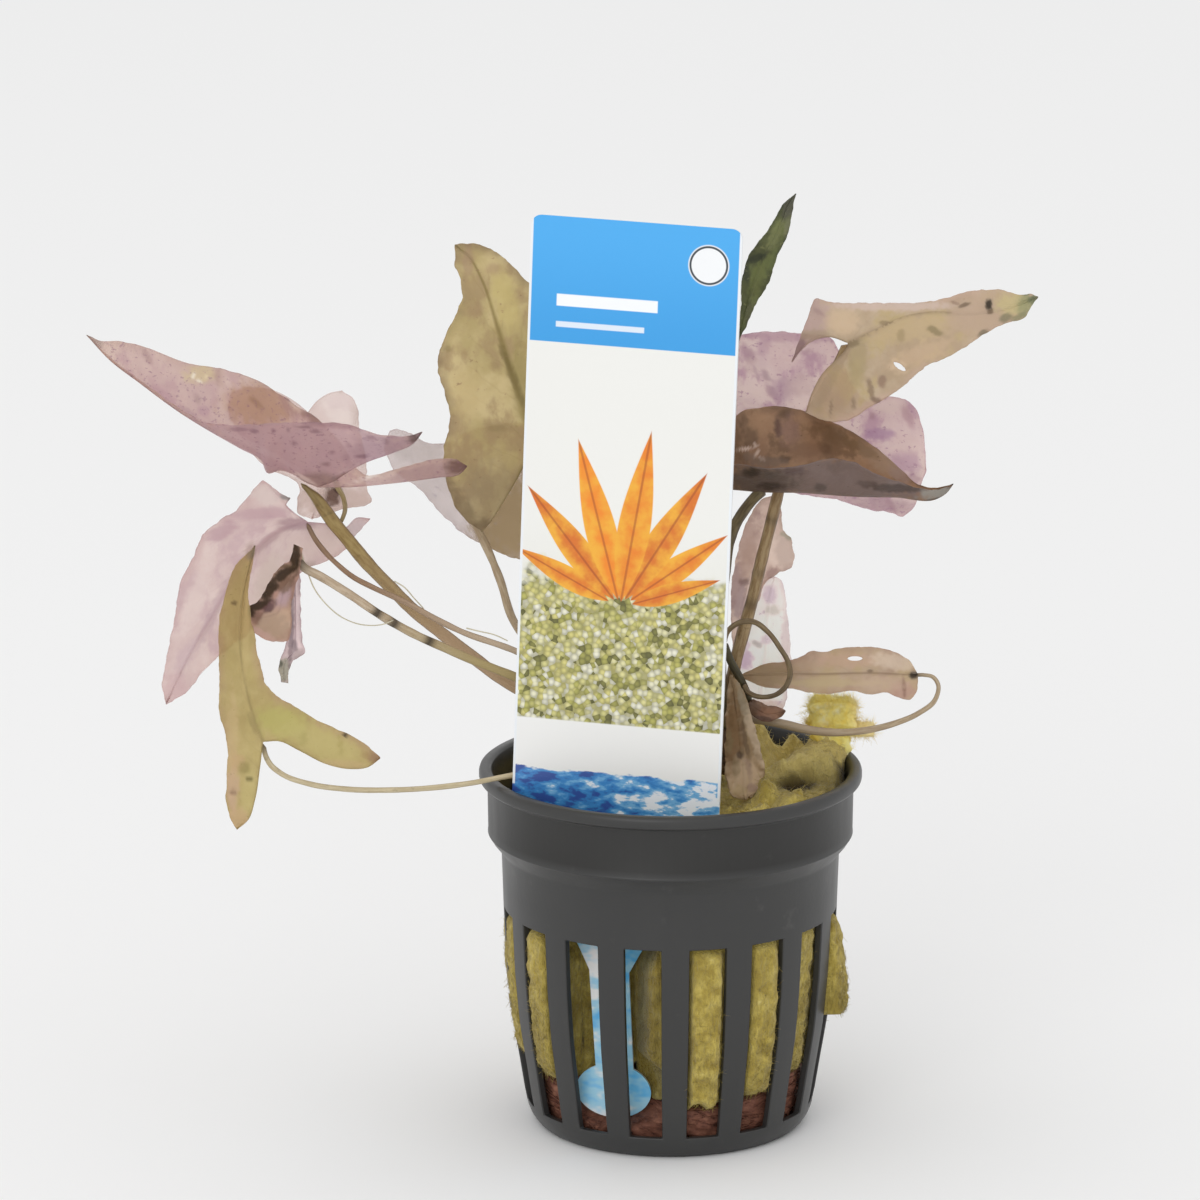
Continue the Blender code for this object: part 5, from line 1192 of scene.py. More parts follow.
# Leaves behind the label
# A tall olive leaf stands just behind the label's left edge with a very pale one behind it, and a dark green
# spear stands behind its right edge.
tall_skin = leaf_finish(
    "tall_olive_leaf", (202, 184, 134), (186, 168, 112), (150, 126, 92), (146, 126, 66), 0.4,
    ((156, 126, 92), 0.64, 900), ((174, 150, 106), 0.54, 260), 0.8)
faint_skin = leaf_finish(
    "faint_leaf", (222, 210, 208), (212, 200, 198), (204, 188, 188), (206, 192, 192), 0.76,
    ((186, 170, 180), 0.64, 900), vein=0.3)
spear_skin = leaf_finish(
    "spear_leaf", (108, 114, 66), (82, 86, 50), (58, 62, 48), (78, 80, 52), 0.12, ((128, 130, 78), 0.6, 900),
    ((112, 120, 62), 0.5, 420), 0.3, 0.5)
tall_base, tall_tip = (532, 450, 4), (455, 245, 2)
tall_rib = (tall_base, (521, 402, 4.5), (508, 361, 4.5), (496, 322, 4), (483, 283, 3), (469, 257, 2.4),
            tall_tip)
tall_left = half_blade(
    ((482, 532, 1.5), (491, 521, 2), (506, 498, 2.8), (520, 474, 3.4), tall_base), tall_rib,
    ((482, 532, 1.5), (465, 519, 1.2), (454, 503, 1), (447, 484, 0.8), (444, 448, 0.8), (450, 422, 1),
     (447, 400, 1), (439, 375, 1), (439, 355, 1), (446, 334, 1.2), (457, 312, 1.4), (463, 295, 1.5),
     (460, 280, 1.5), (456, 268, 1.6), tall_tip), 4, -1)
tall_right = half_blade(
    ((604, 520, 7), (580, 498, 6), (556, 472, 5), tall_base), tall_rib,
    ((604, 520, 7), (622, 470, 7.5), (612, 400, 7.5), (590, 345, 7), (560, 305, 6), (528, 282, 5),
     (506, 260, 4), (486, 247, 3), (470, 243, 2.4), tall_tip), 2, 1)
blade("blade_olive_tall", [tall_left, tall_right], tall_skin, 61, 0.35, blots=(
    (492, 510, 34, 46, 0, (166, 148, 112), 0.6), (462, 506, 8, 26, -28, (132, 110, 76), 0.5),
    (482, 524, 8, 5, -20, (124, 102, 70), 0.6), (494, 269, 8, 6, 0, (168, 138, 106), 0.5),
    (476, 310, 6, 8, 0, (166, 136, 100), 0.5), (468, 262, 5, 14, 0, (168, 138, 112), 0.5),
    (505, 300, 12, 30, -15, (200, 184, 116), 0.6), (520, 380, 8, 40, 0, (160, 144, 84), 0.6),
    (465, 395, 14, 26, 0, (196, 176, 122), 0.6), (512, 375, 3.5, 34, -22, (128, 110, 58), 0.7),
    (494, 366, 5, 5, 0, (164, 140, 96), 0.6), (448, 348, 3, 3, 0, (150, 130, 80), 0.6),
    (497, 428, 10, 4, 0, (160, 140, 92), 0.5)))

faint_start, faint_end = (384, 449, 9.5), (600, 520, 12)
faint_upper = (faint_start, (391, 430, 9.5), (410, 433, 9.5), (424, 441, 9.5), (444, 444, 10),
               (470, 431, 10.5), (530, 425, 11), (585, 460, 12), faint_end)
faint_lower = (faint_start, (396, 472, 9.2), (417, 487, 9), (440, 512, 9), (461, 532, 9), (490, 548, 9.5),
               (518, 559, 10), (560, 560, 11), faint_end)
blade("blade_pale_back", [strip_blade(faint_upper, faint_lower)], faint_skin, 62, 0.4, blots=(
    (415, 449, 26, 12, 0, (204, 192, 188), 0.7), (512, 520, 36, 52, 24, (170, 144, 102), 0.98)))

spear_base, spear_tip = (738, 342, 4), (796, 194, 6)
spear_left = (spear_base, (741, 305, 4), (743, 272, 4), (752, 252, 4.3), (761, 240, 4.5), (775, 219, 5),
              (785, 203, 5.6), spear_tip)
spear_right = (spear_base, (755, 306, 5.6), (769, 282, 6), (776, 259, 6.2), (787, 236, 6.2), (791, 216, 6.2),
               spear_tip)
blade("blade_spear", [strip_blade(spear_left, spear_right)], spear_skin, 63, 0.3, 5.0, blots=(
    (789, 207, 5, 16, 25, (98, 96, 82), 0.8), (787, 226, 3, 10, 15, (134, 134, 100), 0.6),
    (775, 234, 5, 16, 25, (134, 138, 84), 0.7), (756, 258, 9, 4, -20, (56, 60, 44), 0.8),
    (757, 280, 7, 18, 20, (118, 124, 62), 0.6), (747, 272, 3, 12, 0, (54, 58, 44), 0.6),
    (749, 312, 4, 12, 25, (112, 112, 74), 0.5)))


# Leaves on the right
# The longest points away to the right with a torn hole, over a pink one, and below them a brown one is folded
# with its fold down. Two thin ones stand by the stalks, one lies level over the rim, one hangs withered in
# front of the wool, and a small red-brown one lies on it.
point_skin = leaf_finish(
    "pointed_tan_leaf", (192, 172, 144), (180, 158, 128), (194, 166, 148), (150, 128, 96), 0.42,
    ((160, 132, 102), 0.67, 1000), ((188, 168, 120), 0.54, 240), 0.6)
pink_skin = leaf_finish(
    "pink_leaf", (220, 198, 192), (210, 184, 184), (202, 168, 176), (194, 158, 170), 0.62,
    ((168, 126, 150), 0.59, 1300), ((188, 148, 166), 0.55, 300), 0.1)
brown_skin = leaf_finish(
    "brown_leaf", (166, 128, 90), (148, 110, 76), (120, 90, 68), (114, 86, 62), 0.25,
    ((98, 70, 48), 0.66, 900), ((120, 88, 58), 0.54, 260), 0.2, 0.32)
tan_skin = leaf_finish(
    "inner_tan_leaf", (230, 208, 194), (216, 190, 176), (190, 164, 148), (190, 158, 146), 0.6,
    clouds=((176, 142, 134), 0.55, 300), vein=0.3)
spotted_skin = leaf_finish(
    "inner_pale_leaf", (246, 238, 232), (240, 228, 224), (210, 192, 196), (210, 194, 192), 0.6,
    ((196, 170, 192), 0.62, 800), vein=0.2)
level_skin = leaf_finish(
    "level_leaf", (190, 168, 142), (176, 150, 126), (178, 148, 126), (140, 112, 84), 0.42,
    clouds=((188, 166, 126), 0.52, 240), vein=0.6)
withered_skin = leaf_finish(
    "withered_leaf", (182, 152, 108), (150, 120, 76), (184, 158, 126), (112, 86, 52), 0.05,
    clouds=((132, 106, 70), 0.52, 420), vein=0.3, gloss=0.6)
red_skin = leaf_finish(
    "small_red_leaf", (158, 112, 80), (130, 88, 62), (112, 78, 58), (100, 68, 48), 0.1,
    clouds=((92, 60, 40), 0.52, 500), vein=0.2)

point_base, point_tip = (848, 343, 1), (1038, 297, -4)
point_rib = (point_base, (875, 331, 0.5), (905, 317, -0.5), (935, 312, -1.4), (965, 314, -2.2),
             (1000, 310, -3.2), point_tip)
point_upper = half_blade(
    ((792, 362, 1.8), (801, 350, 1.8), (812, 341, 1.8), (830, 337, 1.5), point_base), point_rib,
    ((792, 362, 1.8), (797, 346, 2.3), (804, 327, 2.8), (810, 312, 3.2), (815, 299, 3.4), (830, 302, 3.4),
     (850, 303, 3.2), (900, 303, 2), (940, 300, 0), (968, 292, -1.5), (1002, 290, -2.8), (1024, 295, -3.6),
     (1031, 294, -3.8), point_tip), 4, -1, (
        (895, 306, 62, 5, 0, (202, 182, 170), 0.8), (811, 322, 16, 26, 20, (186, 160, 152), 0.85),
        (819, 312, 2.2, 7, -55, (166, 138, 134), 0.6), (843, 322, 16, 12, 0, (204, 180, 148), 0.7),
        (796, 351, 7, 15, 25, (152, 122, 124), 0.85), (814, 335, 16, 5, 0, (172, 150, 124), 0.75),
        (965, 305, 7, 2, -20, (128, 106, 82), 0.75), (955, 303, 5, 1.5, 20, (156, 130, 108), 0.6),
        (885, 323, 7, 2.4, 0, (140, 118, 88), 0.6)), LONG_ROWS, 34)
point_lower = half_blade(
    ((806, 412, -3.5), (812, 393, -2.5), (822, 374, -1), (837, 358.5, 0.4), (844.5, 350.5, 0.8), point_base),
    point_rib,
    ((806, 412, -3.5), (822, 420, -4.2), (846, 421, -5), (870, 407, -5.5), (896, 392, -5.8), (925, 367, -6),
     (951, 355, -5.9), (978, 338, -5.7), (1002, 324, -5.2), (1024, 317, -4.6), (1032, 306, -4.2),
     point_tip), 3, 1, (
        (910, 328, 50, 13, -6, (192, 170, 130), 0.8), (858, 362, 9, 24, 8, (172, 154, 112), 0.7),
        (920, 354, 34, 9, -22, (198, 172, 140), 0.6),
        (830, 392, 22, 24, 20, (178, 152, 120), 0.5), (935, 331, 8, 3.5, 25, (138, 122, 84), 0.7),
        (901, 336, 4, 6, 0, (160, 140, 98), 0.6), (871, 390, 3, 11, -12, (142, 116, 92), 0.7),
        (882, 381, 4.5, 6, 0, (146, 116, 96), 0.7), (877, 401, 5, 3, 30, (134, 108, 88), 0.7),
        (831, 407, 1.5, 8, 4, (140, 118, 92), 0.6), (854, 404, 2, 6, -8, (142, 120, 92), 0.6),
        (852, 344, 8, 4, -25, (132, 112, 80), 0.7),
        # The pale oval at (899, 367), round the torn hole, is a painted highlight.
        (899, 367, 9, 6, 35, (206, 182, 152), 0.7)), LONG_ROWS, 44)
blade("blade_right_arrow", [point_upper, point_lower], point_skin, 71, 0.35,
      holes=((899.5, 366.5, 7.6, 2.6, 36),), worn=0.7, blots=(
          (982, 313, 34, 19, -20, (188, 164, 140), 0.85), (1014, 304, 18, 11, 0, (194, 180, 130), 0.8),
          (1027, 306, 10, 11, 0, (158, 156, 112), 0.85), (1034, 300, 6, 5, 0, (128, 132, 98), 0.9),
          (1026, 294, 4, 1.6, 0, (126, 130, 98), 0.8), (989, 305, 3.4, 6.2, 0, (66, 56, 42), 0.97),
          (990, 312, 3, 3, 0, (112, 88, 62), 0.7), (1006, 318, 7, 4, -20, (128, 124, 92), 0.7),
          (983, 333, 6, 2.6, -28, (116, 108, 82), 0.7), (1020, 316, 9, 3, -30, (138, 136, 100), 0.7),
          (965, 305, 7, 2, -20, (128, 106, 82), 0.75), (955, 303, 5, 1.5, 20, (156, 130, 108), 0.6)))

pink_start, pink_end = (712, 398, 8.5), (926, 470, 5)
pink_upper = (pink_start, (720, 352, 9), (740, 335, 9.2), (760, 332, 9.2), (808, 334, 9), (824, 335.5, 8.8),
              (832, 339, 8.7), (837, 347, 8.6), (841, 358, 8.4), (850, 380, 8), (866, 400, 7.5),
              (893, 397, 7), (911, 403, 6.5), (921, 422, 6), (925, 450, 5.5), pink_end)
pink_lower = (pink_start, (733, 450, 7.5), (752, 482, 6.5), (800, 494, 5.5), (840, 501, 5), (872, 510, 4.8),
              (888, 512, 4.8), (903, 517, 4.6), (913, 509, 4.7), (920, 488, 4.8), pink_end)
blade("blade_right_pink", [strip_blade(pink_upper, pink_lower, rows=120, columns=64)], pink_skin,
      72, 0.4, blots=(
          (785, 337, 50, 5, 2, (184, 146, 160), 0.7), (748, 354, 6, 11, -30, (176, 138, 152), 0.7),
          (764, 346, 7, 10, 20, (186, 148, 164), 0.6), (782, 356, 16, 14, 0, (210, 182, 180), 0.5),
          (752, 366, 8, 8, 0, (208, 184, 178), 0.5), (766, 376, 4, 6, -30, (168, 134, 146), 0.6),
          (772, 392, 4, 10, -35, (174, 136, 150), 0.6), (783, 390, 12, 12, 0, (182, 150, 164), 0.5),
          (756, 372, 2, 8, -20, (180, 148, 158), 0.5), (806, 352, 6, 3, -20, (176, 136, 152), 0.6),
          (800, 385, 14, 12, 0, (196, 168, 168), 0.5), (880, 434, 14, 6, 0, (176, 136, 164), 0.8),
          (908, 416, 5, 12, -25, (186, 148, 156), 0.7), (905, 462, 14, 12, 0, (188, 152, 168), 0.7),
          (888, 406, 14, 8, 0, (216, 194, 186), 0.6), (906, 444, 14, 10, 0, (212, 186, 182), 0.5),
          (891, 505, 3, 9, -35, (160, 112, 132), 0.8), (880, 503, 34, 8, 10, (188, 158, 162), 0.7),
          (872, 416, 3, 3, 0, (170, 132, 140), 0.6), (912, 478, 8, 6, 0, (176, 142, 150), 0.6)))

brown_base, brown_tip = (728, 489, -4.5), (953, 484, -6)
brown_keel = (brown_base, (765, 492, -5), (800, 492.5, -5.3), (850, 496, -5.6), (895, 497, -5.8),
              (938, 498, -6), (946, 493, -6), brown_tip)
brown_far = (brown_base, (722, 450, -2), (738, 414, 0), (765, 407, 1), (792, 408, 1.4), (820, 417, 1.3),
             (850, 431, 1.1), (880, 451, 0), (903, 472, -2), (920, 485, -4), (936, 488, -5.4), brown_tip)
brown_near = (brown_base, (730, 467, -9), (768, 468.5, -10), (800, 466, -10.5), (830, 459, -10.5),
              (852, 462, -10.2), (875, 474, -9.8), (898, 482, -8.3), (920, 488.5, -6.8), (938, 490, -6.3),
              brown_tip)
far_side = strip_blade(brown_keel, brown_far, (
    (778, 428, 3.5, 12, -5, (92, 62, 54), 0.8), (784, 414, 5, 4, 0, (100, 74, 50), 0.7),
    (790, 432, 10, 16, 0, (146, 110, 96), 0.6), (825, 449, 6, 5, 0, (88, 64, 42), 0.7),
    (785, 459, 6, 3.5, 0, (84, 58, 38), 0.7), (750, 438, 8, 9, 0, (96, 70, 46), 0.6),
    # The four pale slivers at (745, 449), (757, 453), (762, 459) and (756, 445) are painted glints.
    (744, 424, 4, 8, 0, (100, 74, 50), 0.5), (745, 449, 8, 1.6, -8, (214, 190, 174), 0.9),
    (757, 453, 1.6, 5, 30, (206, 182, 164), 0.8), (762, 459, 5, 1.6, 25, (206, 182, 164), 0.8),
    (756, 445, 3, 1.4, 30, (206, 182, 164), 0.8), (748, 456, 6, 4, 0, (134, 108, 88), 0.6),
    (882, 462, 26, 9, 35, (158, 128, 100), 0.85), (900, 476, 12, 6, 35, (150, 120, 106), 0.7),
    (806, 450, 22, 9, 0, (128, 92, 62), 0.6), (835, 436, 18, 8, 25, (116, 86, 54), 0.6),
    (768, 462, 20, 5, 0, (126, 104, 86), 0.6), (860, 448, 20, 6, 30, (122, 92, 56), 0.6)),
    columns=50, low=0.0)
near_side = strip_blade(brown_keel, brown_near, (
    (846, 480, 112, 24, 2, (132, 112, 106), 0.95), (758, 482, 36, 16, 0, (100, 84, 74), 0.85),
    (752, 472, 8, 5, 0, (64, 52, 44), 0.8), (770, 486, 12, 4, 0, (60, 46, 40), 0.75),
    (768, 474, 8, 4, 0, (96, 84, 76), 0.6), (795, 471, 12, 4, 0, (98, 76, 74), 0.6),
    (895, 488, 26, 4, 2, (88, 72, 66), 0.8), (840, 466, 14, 5, 0, (124, 104, 96), 0.7),
    (820, 487, 6, 4, 0, (84, 74, 68), 0.6), (938, 493, 18, 6, -8, (158, 152, 142), 0.95),
    (940, 498, 14, 1.4, -10, (84, 78, 68), 0.7), (870, 484, 14, 3, 8, (100, 82, 76), 0.6)),
    columns=30, low=0.0)
blade("blade_right_brown", [far_side, near_side], brown_skin, 73, 0.3, crease=0.0, worn=0.6)

inner_base, inner_tip = (733, 650, 5), (777, 494, 5.2)
inner_left = (inner_base, (731, 610, 5.5), (734, 570, 5.5), (744, 530, 5.5), (762, 500, 5.2), inner_tip)
inner_right = (inner_base, (744, 630, 6), (758, 602, 6.5), (768, 580, 6.5), (780, 572, 6.5), (791, 568, 6.4),
               (794, 552, 6.3), (791, 538, 6), (783, 530, 5.8), (781, 512, 5.5), inner_tip)
blade("blade_right_inner_tan", [strip_blade(inner_left, inner_right)], tan_skin, 74, 0.3, blots=(
    (785, 550, 10, 20, 0, (200, 178, 166), 0.7), (787, 536, 6, 3, 20, (166, 160, 136), 0.7),
    (746, 540, 14, 22, 0, (184, 152, 140), 0.7), (737, 590, 8, 28, 0, (164, 134, 134), 0.7),
    (748, 560, 8, 20, 10, (190, 158, 140), 0.6), (744, 582, 5, 4, 0, (140, 108, 104), 0.7),
    (740, 605, 5, 16, 10, (184, 160, 158), 0.6)))

spotted_base, spotted_tip = (748, 716, 7.6), (774, 577, 8)
spotted_left = (spotted_base, (739, 690, 7.4), (738, 650, 7.4), (746, 612, 7.8), (756, 590, 8), (765, 580, 8),
                spotted_tip)
spotted_right = (spotted_base, (781, 712, 8), (787, 690, 8.2), (791, 660, 8.4), (789, 630, 8.4),
                 (787, 610, 8.3), (784, 590, 8.2), (781, 580, 8.1), spotted_tip)
blade("blade_right_inner_pale", [strip_blade(spotted_left, spotted_right)], spotted_skin, 75,
      0.3, blots=(
          (746, 660, 7, 9, 10, (206, 176, 200), 0.8), (745, 646, 5, 8, 0, (212, 188, 204), 0.6),
          (757, 644, 6, 3, 35, (180, 170, 168), 0.7), (770, 594, 7, 9, 0, (208, 186, 200), 0.7),
          (772, 610, 8, 5, 0, (204, 198, 186), 0.6), (766, 640, 6, 4, 0, (208, 188, 200), 0.6),
          (785, 640, 4, 24, 0, (218, 200, 202), 0.6), (765, 706, 20, 6, 0, (214, 190, 178), 0.7)))

level_base, level_tip = (918, 675, 2), (738, 676, 3)
level_rib = (level_base, (870, 673, 1.6), (820, 674, 1.9), (775, 673.5, 2.5), level_tip)
level_upper = (level_base, (912, 664, 1), (898, 654, 0.8), (882, 648.5, 0.8), (860, 647.5, 0.8),
               (840, 648, 0.9), (826, 652, 1.1), (812, 651, 1.3), (795, 659, 1.6), (765, 664, 2.4), level_tip)
level_lower = (level_base, (917, 690, 1.2), (910, 700, 0.7), (902, 699, 0.6), (888, 693, 0.8), (872, 694, 1),
               (848, 691, 1.2), (825, 694, 1.4), (792, 689, 2), (765, 687, 2.4), level_tip)
level_halves = [strip_blade(level_rib, reach, rows=120, columns=30, low=0.0)
                for reach in (level_upper, level_lower)]
blade("blade_right_level", level_halves, level_skin, 76, 0.3, holes=((855, 658.5, 7.5, 2.5, 0),),
      worn=0.7, blots=(
          (914, 675, 5, 4, 0, (76, 64, 50), 0.95), (845, 660, 32, 7, 0, (196, 164, 144), 0.6),
          (896, 662, 24, 8, 10, (210, 192, 172), 0.7), (903, 691, 14, 9, 0, (184, 148, 132), 0.75),
          (904, 687, 2.2, 9, -5, (144, 106, 88), 0.75), (870, 671, 3, 1.6, 0, (122, 98, 74), 0.7),
          (825, 683, 54, 3.5, 0, (190, 170, 130), 0.7), (765, 674, 30, 12, 0, (166, 142, 108), 0.8),
          (806, 666, 14, 5, 0, (190, 164, 136), 0.5), (880, 684, 26, 8, 0, (198, 174, 150), 0.5)))

withered_base, withered_tip = (731, 676, -3.8), (746, 799, -10)
withered_left = (withered_base, (727, 700, -4.6), (726, 730, -6), (725, 760, -8), (727, 780, -9.4),
                 (733, 796, -10), withered_tip)
withered_right = (withered_base, (741, 688, -4), (747, 704, -4.6), (754, 724, -5.5), (760, 748, -7),
                  (764, 770, -8), (760.5, 784, -9), (755, 794, -9.6), withered_tip)
blade("blade_hanging_brown", [strip_blade(withered_left, withered_right, rows=130)], withered_skin,
      77, 0.7, 4.0, thick=0.4, blots=(
          (732, 735, 10, 40, 0, (134, 98, 52), 0.9), (729, 742, 4, 12, 0, (128, 106, 62), 0.7),
          (746, 778, 17, 20, 0, (196, 166, 128), 0.85), (753, 732, 5, 34, -17, (190, 166, 134), 0.9),
          (742, 700, 4, 16, -15, (152, 136, 108), 0.8), (745, 740, 3, 22, -12, (104, 78, 48), 0.7),
          (736, 768, 4, 10, 0, (146, 124, 86), 0.6), (740, 755, 3, 4, 0, (76, 54, 34), 0.8),
          (748, 768, 3, 12, -10, (150, 120, 98), 0.6), (738, 790, 8, 5, 0, (186, 160, 112), 0.7),
          (735, 784, 2, 8, 30, (196, 170, 134), 0.7), (752, 788, 6, 4, 0, (158, 126, 108), 0.7)))

red_base, red_tip = (748, 704, -2.6), (784, 711, 0.5)
red_upper = (red_base, (753, 700, -2.2), (761, 702.5, -1.7), (768, 706, -1.2), (778, 707, -0.2), red_tip)
red_lower = (red_base, (751, 713, -2.2), (758, 719, -1.6), (766, 721.5, -0.9), (774, 719, 0), (780, 716, 0.3),
             red_tip)
blade("blade_small_red", [strip_blade(red_upper, red_lower, rows=50, columns=28)], red_skin, 78,
      0.35, 3.0, crease=0.0, thick=0.5, worn=0.3, blots=(
          (772, 712, 10, 6, 0, (166, 120, 88), 0.7), (753, 707, 6, 9, 0, (112, 84, 62), 0.8),
          (763, 704, 8, 2.4, 15, (150, 116, 88), 0.6), (763, 718, 8, 2, 10, (84, 58, 46), 0.7)))


# Leaf stalks
# Round, slightly ridged stalks. They spring from the crown, but the curled one goes on from the stub's end,
# and the round leaf's ends behind the longest one. The thick ones are olive, the thin ones brown or purple,
# and old scars darken them in places.
def port(turn, rise, out=0.6):
    """The place just off the crown at an angle round it, from the right towards the back, and an angle up."""
    turn, rise = math.radians(turn), math.radians(rise)
    flat, high = (CROWN_RADIUS + out) * math.cos(rise), (CROWN_HALF_HEIGHT + out) * math.sin(rise)
    return CROWN_PLACE + (flat * math.cos(turn), flat * math.sin(turn), high)


def tube(name, path, radii, finish, seed, scars=(), steps=70, sides=14, neck=1.0):
    """A stalk: a round profile carried along a smooth run through the places, without twist, its radius
    changing evenly and a little ridged, with domed ends, and narrowed to the share neck where it runs into
    its leaf. A scar (share along, half length, depth of tone) darkens a band. A stem replaces the stalk of
    its own name."""
    run = np.linspace(0, 1, steps)
    line = curve(path, run)
    way = np.gradient(line, axis=0)
    way /= np.linalg.norm(way, axis=1, keepdims=True)
    above = np.cross(way[0], (0.0, 1.0, 0.0))
    normals = [above / np.linalg.norm(above)]
    for heading in way[1:]:
        kept = normals[-1] - heading * (normals[-1] @ heading)
        normals.append(kept / np.linalg.norm(kept))
    normals = np.array(normals)
    aside = np.cross(way, normals)
    length = np.linalg.norm(np.diff(line, axis=0), axis=1).sum()
    narrowed = 1 - (1 - neck) * np.exp(-((run * length / 3.0) ** 2))
    radius = (radii[0] + (radii[1] - radii[0]) * run) * narrowed
    radius *= 1 + 0.06 * waves(np.stack([run * length, 0 * run, 0 * run], -1), 5.0, seed)
    dome = np.clip(np.minimum(run, 1 - run) * length / (0.7 * radius), 0.02, 1)
    radius *= np.sqrt(1 - (1 - dome) ** 2)
    turn = math.tau * np.arange(sides) / sides
    ridge = 1 + 0.035 * np.cos(5 * turn + 0.4)
    ring = normals[:, None] * np.cos(turn)[:, None] + aside[:, None] * np.sin(turn)[:, None]
    body = line[:, None] + ring * (radius[:, None] * ridge)[..., None]
    stain = np.zeros(steps)
    for at, half, deep in scars:
        stain = np.maximum(stain, deep * np.exp(-(((run - at) / half) ** 2)))
    marks = np.stack([np.repeat(run * length, sides), np.tile(turn, steps), np.repeat(stain, sides)], -1)
    marks = np.concatenate([marks, [(0, 0, stain[0]), (length, 0, stain[-1])]])
    points = np.concatenate([body.reshape(-1, 3), [line[0], line[-1]]])
    node_names = [name.replace("stem", "stalk")] if name.startswith("stem") else ()
    return piece(name, points, closed_grid(steps, sides), finish, node_names, {"stalk": marks},
                 weld=1e-7)


def stalk_finish(name, light, deep, flank_shade, low=None, scar=(48, 38, 26)):
    """A stalk's skin: two tones in long streaks, a painted shade on its flanks where they turn from the view,
    darkened at its scars, and turning to a last tone near the crown."""
    made, tree, shader = finish_of(name, 0.45, 0.35)
    run, turn, stain = axes(tree, carried(tree, "stalk"))
    lengthwise = node(tree, "CombineXYZ", X=sum_of(tree, "MULTIPLY", run, 0.22), Y=turn).outputs[0]
    streak = noise(tree, 1.6, 4.0, lengthwise)
    skin = mix(tree, ramp(tree, streak, (0.38, 0.0), (0.62, 1.0)), tone(*light), tone(*deep))
    skin = mix(tree, ramp(tree, noise(tree, 650, 3.0), (0.6, 0.0), (0.72, 0.5)), skin,
               tone(*(0.75 * np.array(deep))))
    if low:
        near_crown = slide(tree, run, 12.0, 32.0)
        skin = mix(tree, near_crown, skin, tone(*low))
    # Painted shade: the flanks, as they turn away from the view, take the darker flank tone.
    facing = node(tree, "LayerWeight", Blend=0.35).outputs["Facing"]
    skin = mix(tree, ramp(tree, facing, (0.2, 0.0), (0.75, 0.9)), skin, tone(*flank_shade))
    skin = mix(tree, stain, skin, tone(*scar))
    tree.links.new(skin, shader.inputs["Base Color"])
    bump(tree, shader, streak, 0.00012, 0.6)
    return made


olive_stalk = stalk_finish("olive_stalk", (160, 138, 88), (140, 116, 70), (118, 92, 70), (176, 148, 116))
mauve_stalk = stalk_finish("mauve_stalk", (156, 126, 100), (138, 110, 86), (114, 86, 70), (184, 164, 140))
tan_stalk = stalk_finish("tan_stalk", (196, 178, 154), (176, 154, 128), (140, 116, 86), (164, 146, 100))
moss_stalk = stalk_finish("moss_stalk", (172, 156, 112), (150, 134, 88), (128, 110, 70))
pale_stalk = stalk_finish("pale_stalk", (204, 190, 158), (188, 172, 138), (160, 144, 112))
level_stalk = stalk_finish("level_stalk", (180, 162, 134), (160, 138, 110), (132, 112, 88), (160, 142, 118))
green_stalk = stalk_finish("green_stalk", (84, 78, 48), (62, 56, 34), (48, 42, 28))
dark_stalk = stalk_finish("dark_stalk", (134, 116, 86), (106, 88, 64), (76, 60, 44))
bark_stalk = stalk_finish("bark_stalk", (168, 144, 106), (138, 112, 76), (112, 88, 62))
shade_stalk = stalk_finish("shade_stalk", (112, 98, 68), (84, 72, 48), (62, 52, 38))

tube("stem_left_arrow", [*seen((
    (301, 483.5, -7.9), (308, 490, -7.7), (316, 498, -7.5), (324.5, 510, -7.4), (333, 522, -7.3),
    (343, 534, -7.2), (366, 562, -6.9), (391, 588, -5.8), (412, 609, -4.8), (440, 632, -3.6),
    (470, 655, -2.8), (513, 686, -2), (580, 712, -0.5), (650, 728, 0.5))), port(193, 3)], (1.0, 0.8),
    olive_stalk, 81, ((0.0, 0.06, 0.45),), 120, neck=0.3)
tube("stem_left_drooping", [*seen((
    (307, 523, -10.2), (310, 530, -10.4), (315, 539, -10.8), (324, 551, -10.8), (338, 565, -10.8),
    (353, 577, -10.6), (372, 587, -10.3), (409, 604, -9.4), (432, 617, -8.6), (460, 631, -7.8),
    (513, 650, -6.6), (590, 690, -3))), port(215, 40)], (0.34, 0.58), mauve_stalk, 82,
    ((0.0, 0.06, 0.4),), 110)
tube("stem_left_crumpled", [*seen((
    (297, 560, -15.8), (306, 569, -15.6), (316, 574, -15.5), (346, 592, -14.8), (382, 616, -13.4),
    (416, 635, -11.6), (445, 648, -10), (470, 659, -8.8), (513, 676, -7.2), (590, 706, -3.6))), port(222, 7)],
    (0.6, 0.65), tan_stalk, 83, ((0.205, 0.012, 0.95), (0.25, 0.012, 0.9), (0.34, 0.012, 0.9),
    (0.0, 0.03, 0.8)), 160)
tube("stem_left_olive", [*seen((
    (263, 744, -20.9), (265, 754, -20.7), (270, 764, -20.4), (282, 774, -20), (310, 784, -19),
    (345, 789, -17.5), (390, 790, -15.5), (440, 787, -13), (480, 781.5, -11.2), (495, 778.5, -10.3),
    (511, 775.5, -9.4), (570, 765, -5.5), (640, 752, -1.5))), port(190, -30)], (0.38, 0.42), pale_stalk,
    84, ((0.0, 0.02, 0.7),), 120)
tube("stem_left_round", seen((
    (334, 476, 2.2), (338, 488, 0.8), (343, 497, -0.9), (345, 506, -2.2), (343.5, 516, -4.6),
    (341, 522, -5.6))), (0.4, 0.3), moss_stalk, 85, ((0.0, 0.15, 0.7), (1.0, 0.3, 0.25)), 40)
tube("stem_pale_back", [*seen((
    (468, 508, 8.2), (478, 530, 7.5), (490, 555, 6.5), (500, 580, 5.5), (513, 620, 4.5), (560, 670, 3),
    (640, 708, 2.6))), port(180, 28)], (0.58, 0.62), level_stalk, 86, ((0.0, 0.02, 0.5),), 90)
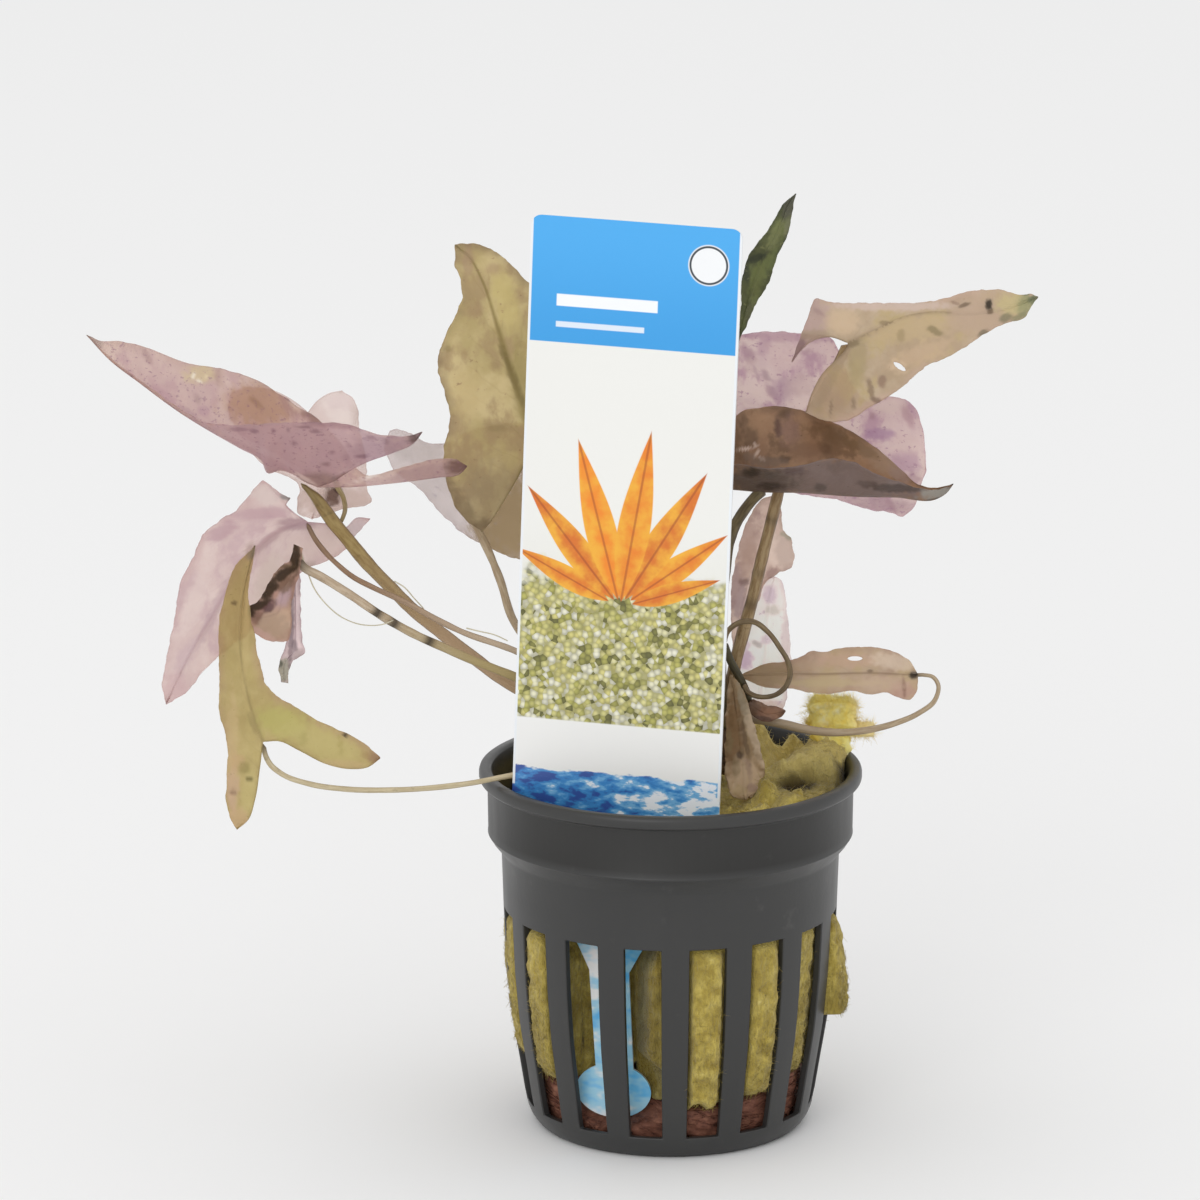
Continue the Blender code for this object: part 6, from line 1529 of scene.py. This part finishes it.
tube("stem_olive_tall", [*seen((
    (533, 455, 3.6), (552, 520, 4.5), (580, 590, 5.5), (625, 660, 6))), port(150, 45)], (0.7, 0.7),
    olive_stalk, 87)
tube("stem_spear", [*seen((
    (737, 345, 4.4), (735, 353, 5), (727, 400, 5.5), (716, 480, 6), (706, 570, 6.5), (704, 650, 6.5))),
    port(110, 62)], (0.45, 0.5), green_stalk, 88)
tube("stem_right_arrow", [*seen((
    (847, 345, 1.8), (840, 360, 2.5), (819, 400, 3), (796, 442, 3.2), (779, 490, 2.8), (771.5, 520, 2.5),
    (762.5, 555, 2.2), (752, 600, 1.8), (741, 640, 1.4), (734, 668, 1.4))), port(20, 62)], (0.75, 0.95),
    bark_stalk, 89, ((0.47, 0.012, 0.45), (0.68, 0.014, 0.45), (0.6, 0.01, 0.3)), 110)
tube("stem_right_brown", [*seen((
    (764, 489, -4.6), (756, 496, -4.2), (748, 505, -3.4), (741.5, 514, -2.8), (735.5, 524, -2.2),
    (730, 540, -1.6), (725, 575, -1), (721, 630, -0.6))), port(290, 62)], (0.78, 0.65), shade_stalk,
    90, (), 90)
tube("stem_right_pink", [*seen((
    (797, 440, 8.8), (780, 490, 9.2), (772, 520, 9.5), (763, 555, 9.8), (752, 600, 10), (742, 640, 9.8),
    (735, 668, 8.9))), port(62, 30)], (0.5, 0.5), olive_stalk, 91)
tube("stem_right_level", [*seen((
    (915, 675, 2.1), (924, 675, 1.8), (933, 677, 1.5), (938, 684, 1), (935, 700, 0.6), (919, 713, 0.4),
    (896, 723, 0.4), (868, 730, 0.4), (835, 732.5, 0.6), (806, 729.5, 1), (785, 724.5, 1.4), (768, 721, 1.6),
    (755, 719, 1.6), (746, 719, 1.5))), port(-5, 20)], (0.26, 0.76), level_stalk, 92,
    ((0.0, 0.03, 0.6),), 130)
tube("stem_curled", seen((
    (724, 643, -2.9), (728, 631, -3.7), (741, 622, -4), (754, 622, -4), (768, 632, -4), (780, 648, -4),
    (788, 662, -4), (790, 675, -4), (786, 686, -4), (777, 694, -4), (764, 697, -3.8), (753, 695, -3.4),
    (747, 691, -3), (744, 684, -2.8))), (0.39, 0.36), dark_stalk, 93,
    ((0.78, 0.12, 0.45), (0.5, 0.06, 0.3)), 120)
tube("stem_stub", [*seen((
    (724, 643, -2.4), (730, 660, -2.3), (740, 679, -2.2), (746, 694, -1.6))), port(335, 28)], (0.5, 0.8),
    green_stalk, 94, ((0.35, 0.4, 0.4),))


# Root threads
# Hair-thin threads that hang between the stalks on the left, too fine for the solids.
thread_finish = stalk_finish("thread_skin", (212, 204, 182), (192, 184, 156), (196, 188, 164))
for number, spots in enumerate((
    ((301, 552, -15), (304, 562, -15.2), (309, 576, -15.6), (314, 588, -15.8), (325, 603, -15.8),
     (345, 619, -15.2), (364, 625, -14.6), (384, 624, -14.3), (394, 620, -14)),
    ((394, 581, -7), (404, 587, -7.4), (414, 598, -7.4), (424, 609, -7)),
    ((466, 628, -9), (478, 631, -9), (495, 635, -8.8), (508, 641, -8.6)),
)):
    tube("thread_%d" % (number + 1), seen(spots), (0.1, 0.08), thread_finish, 95 + number,
         (), 60, 7)
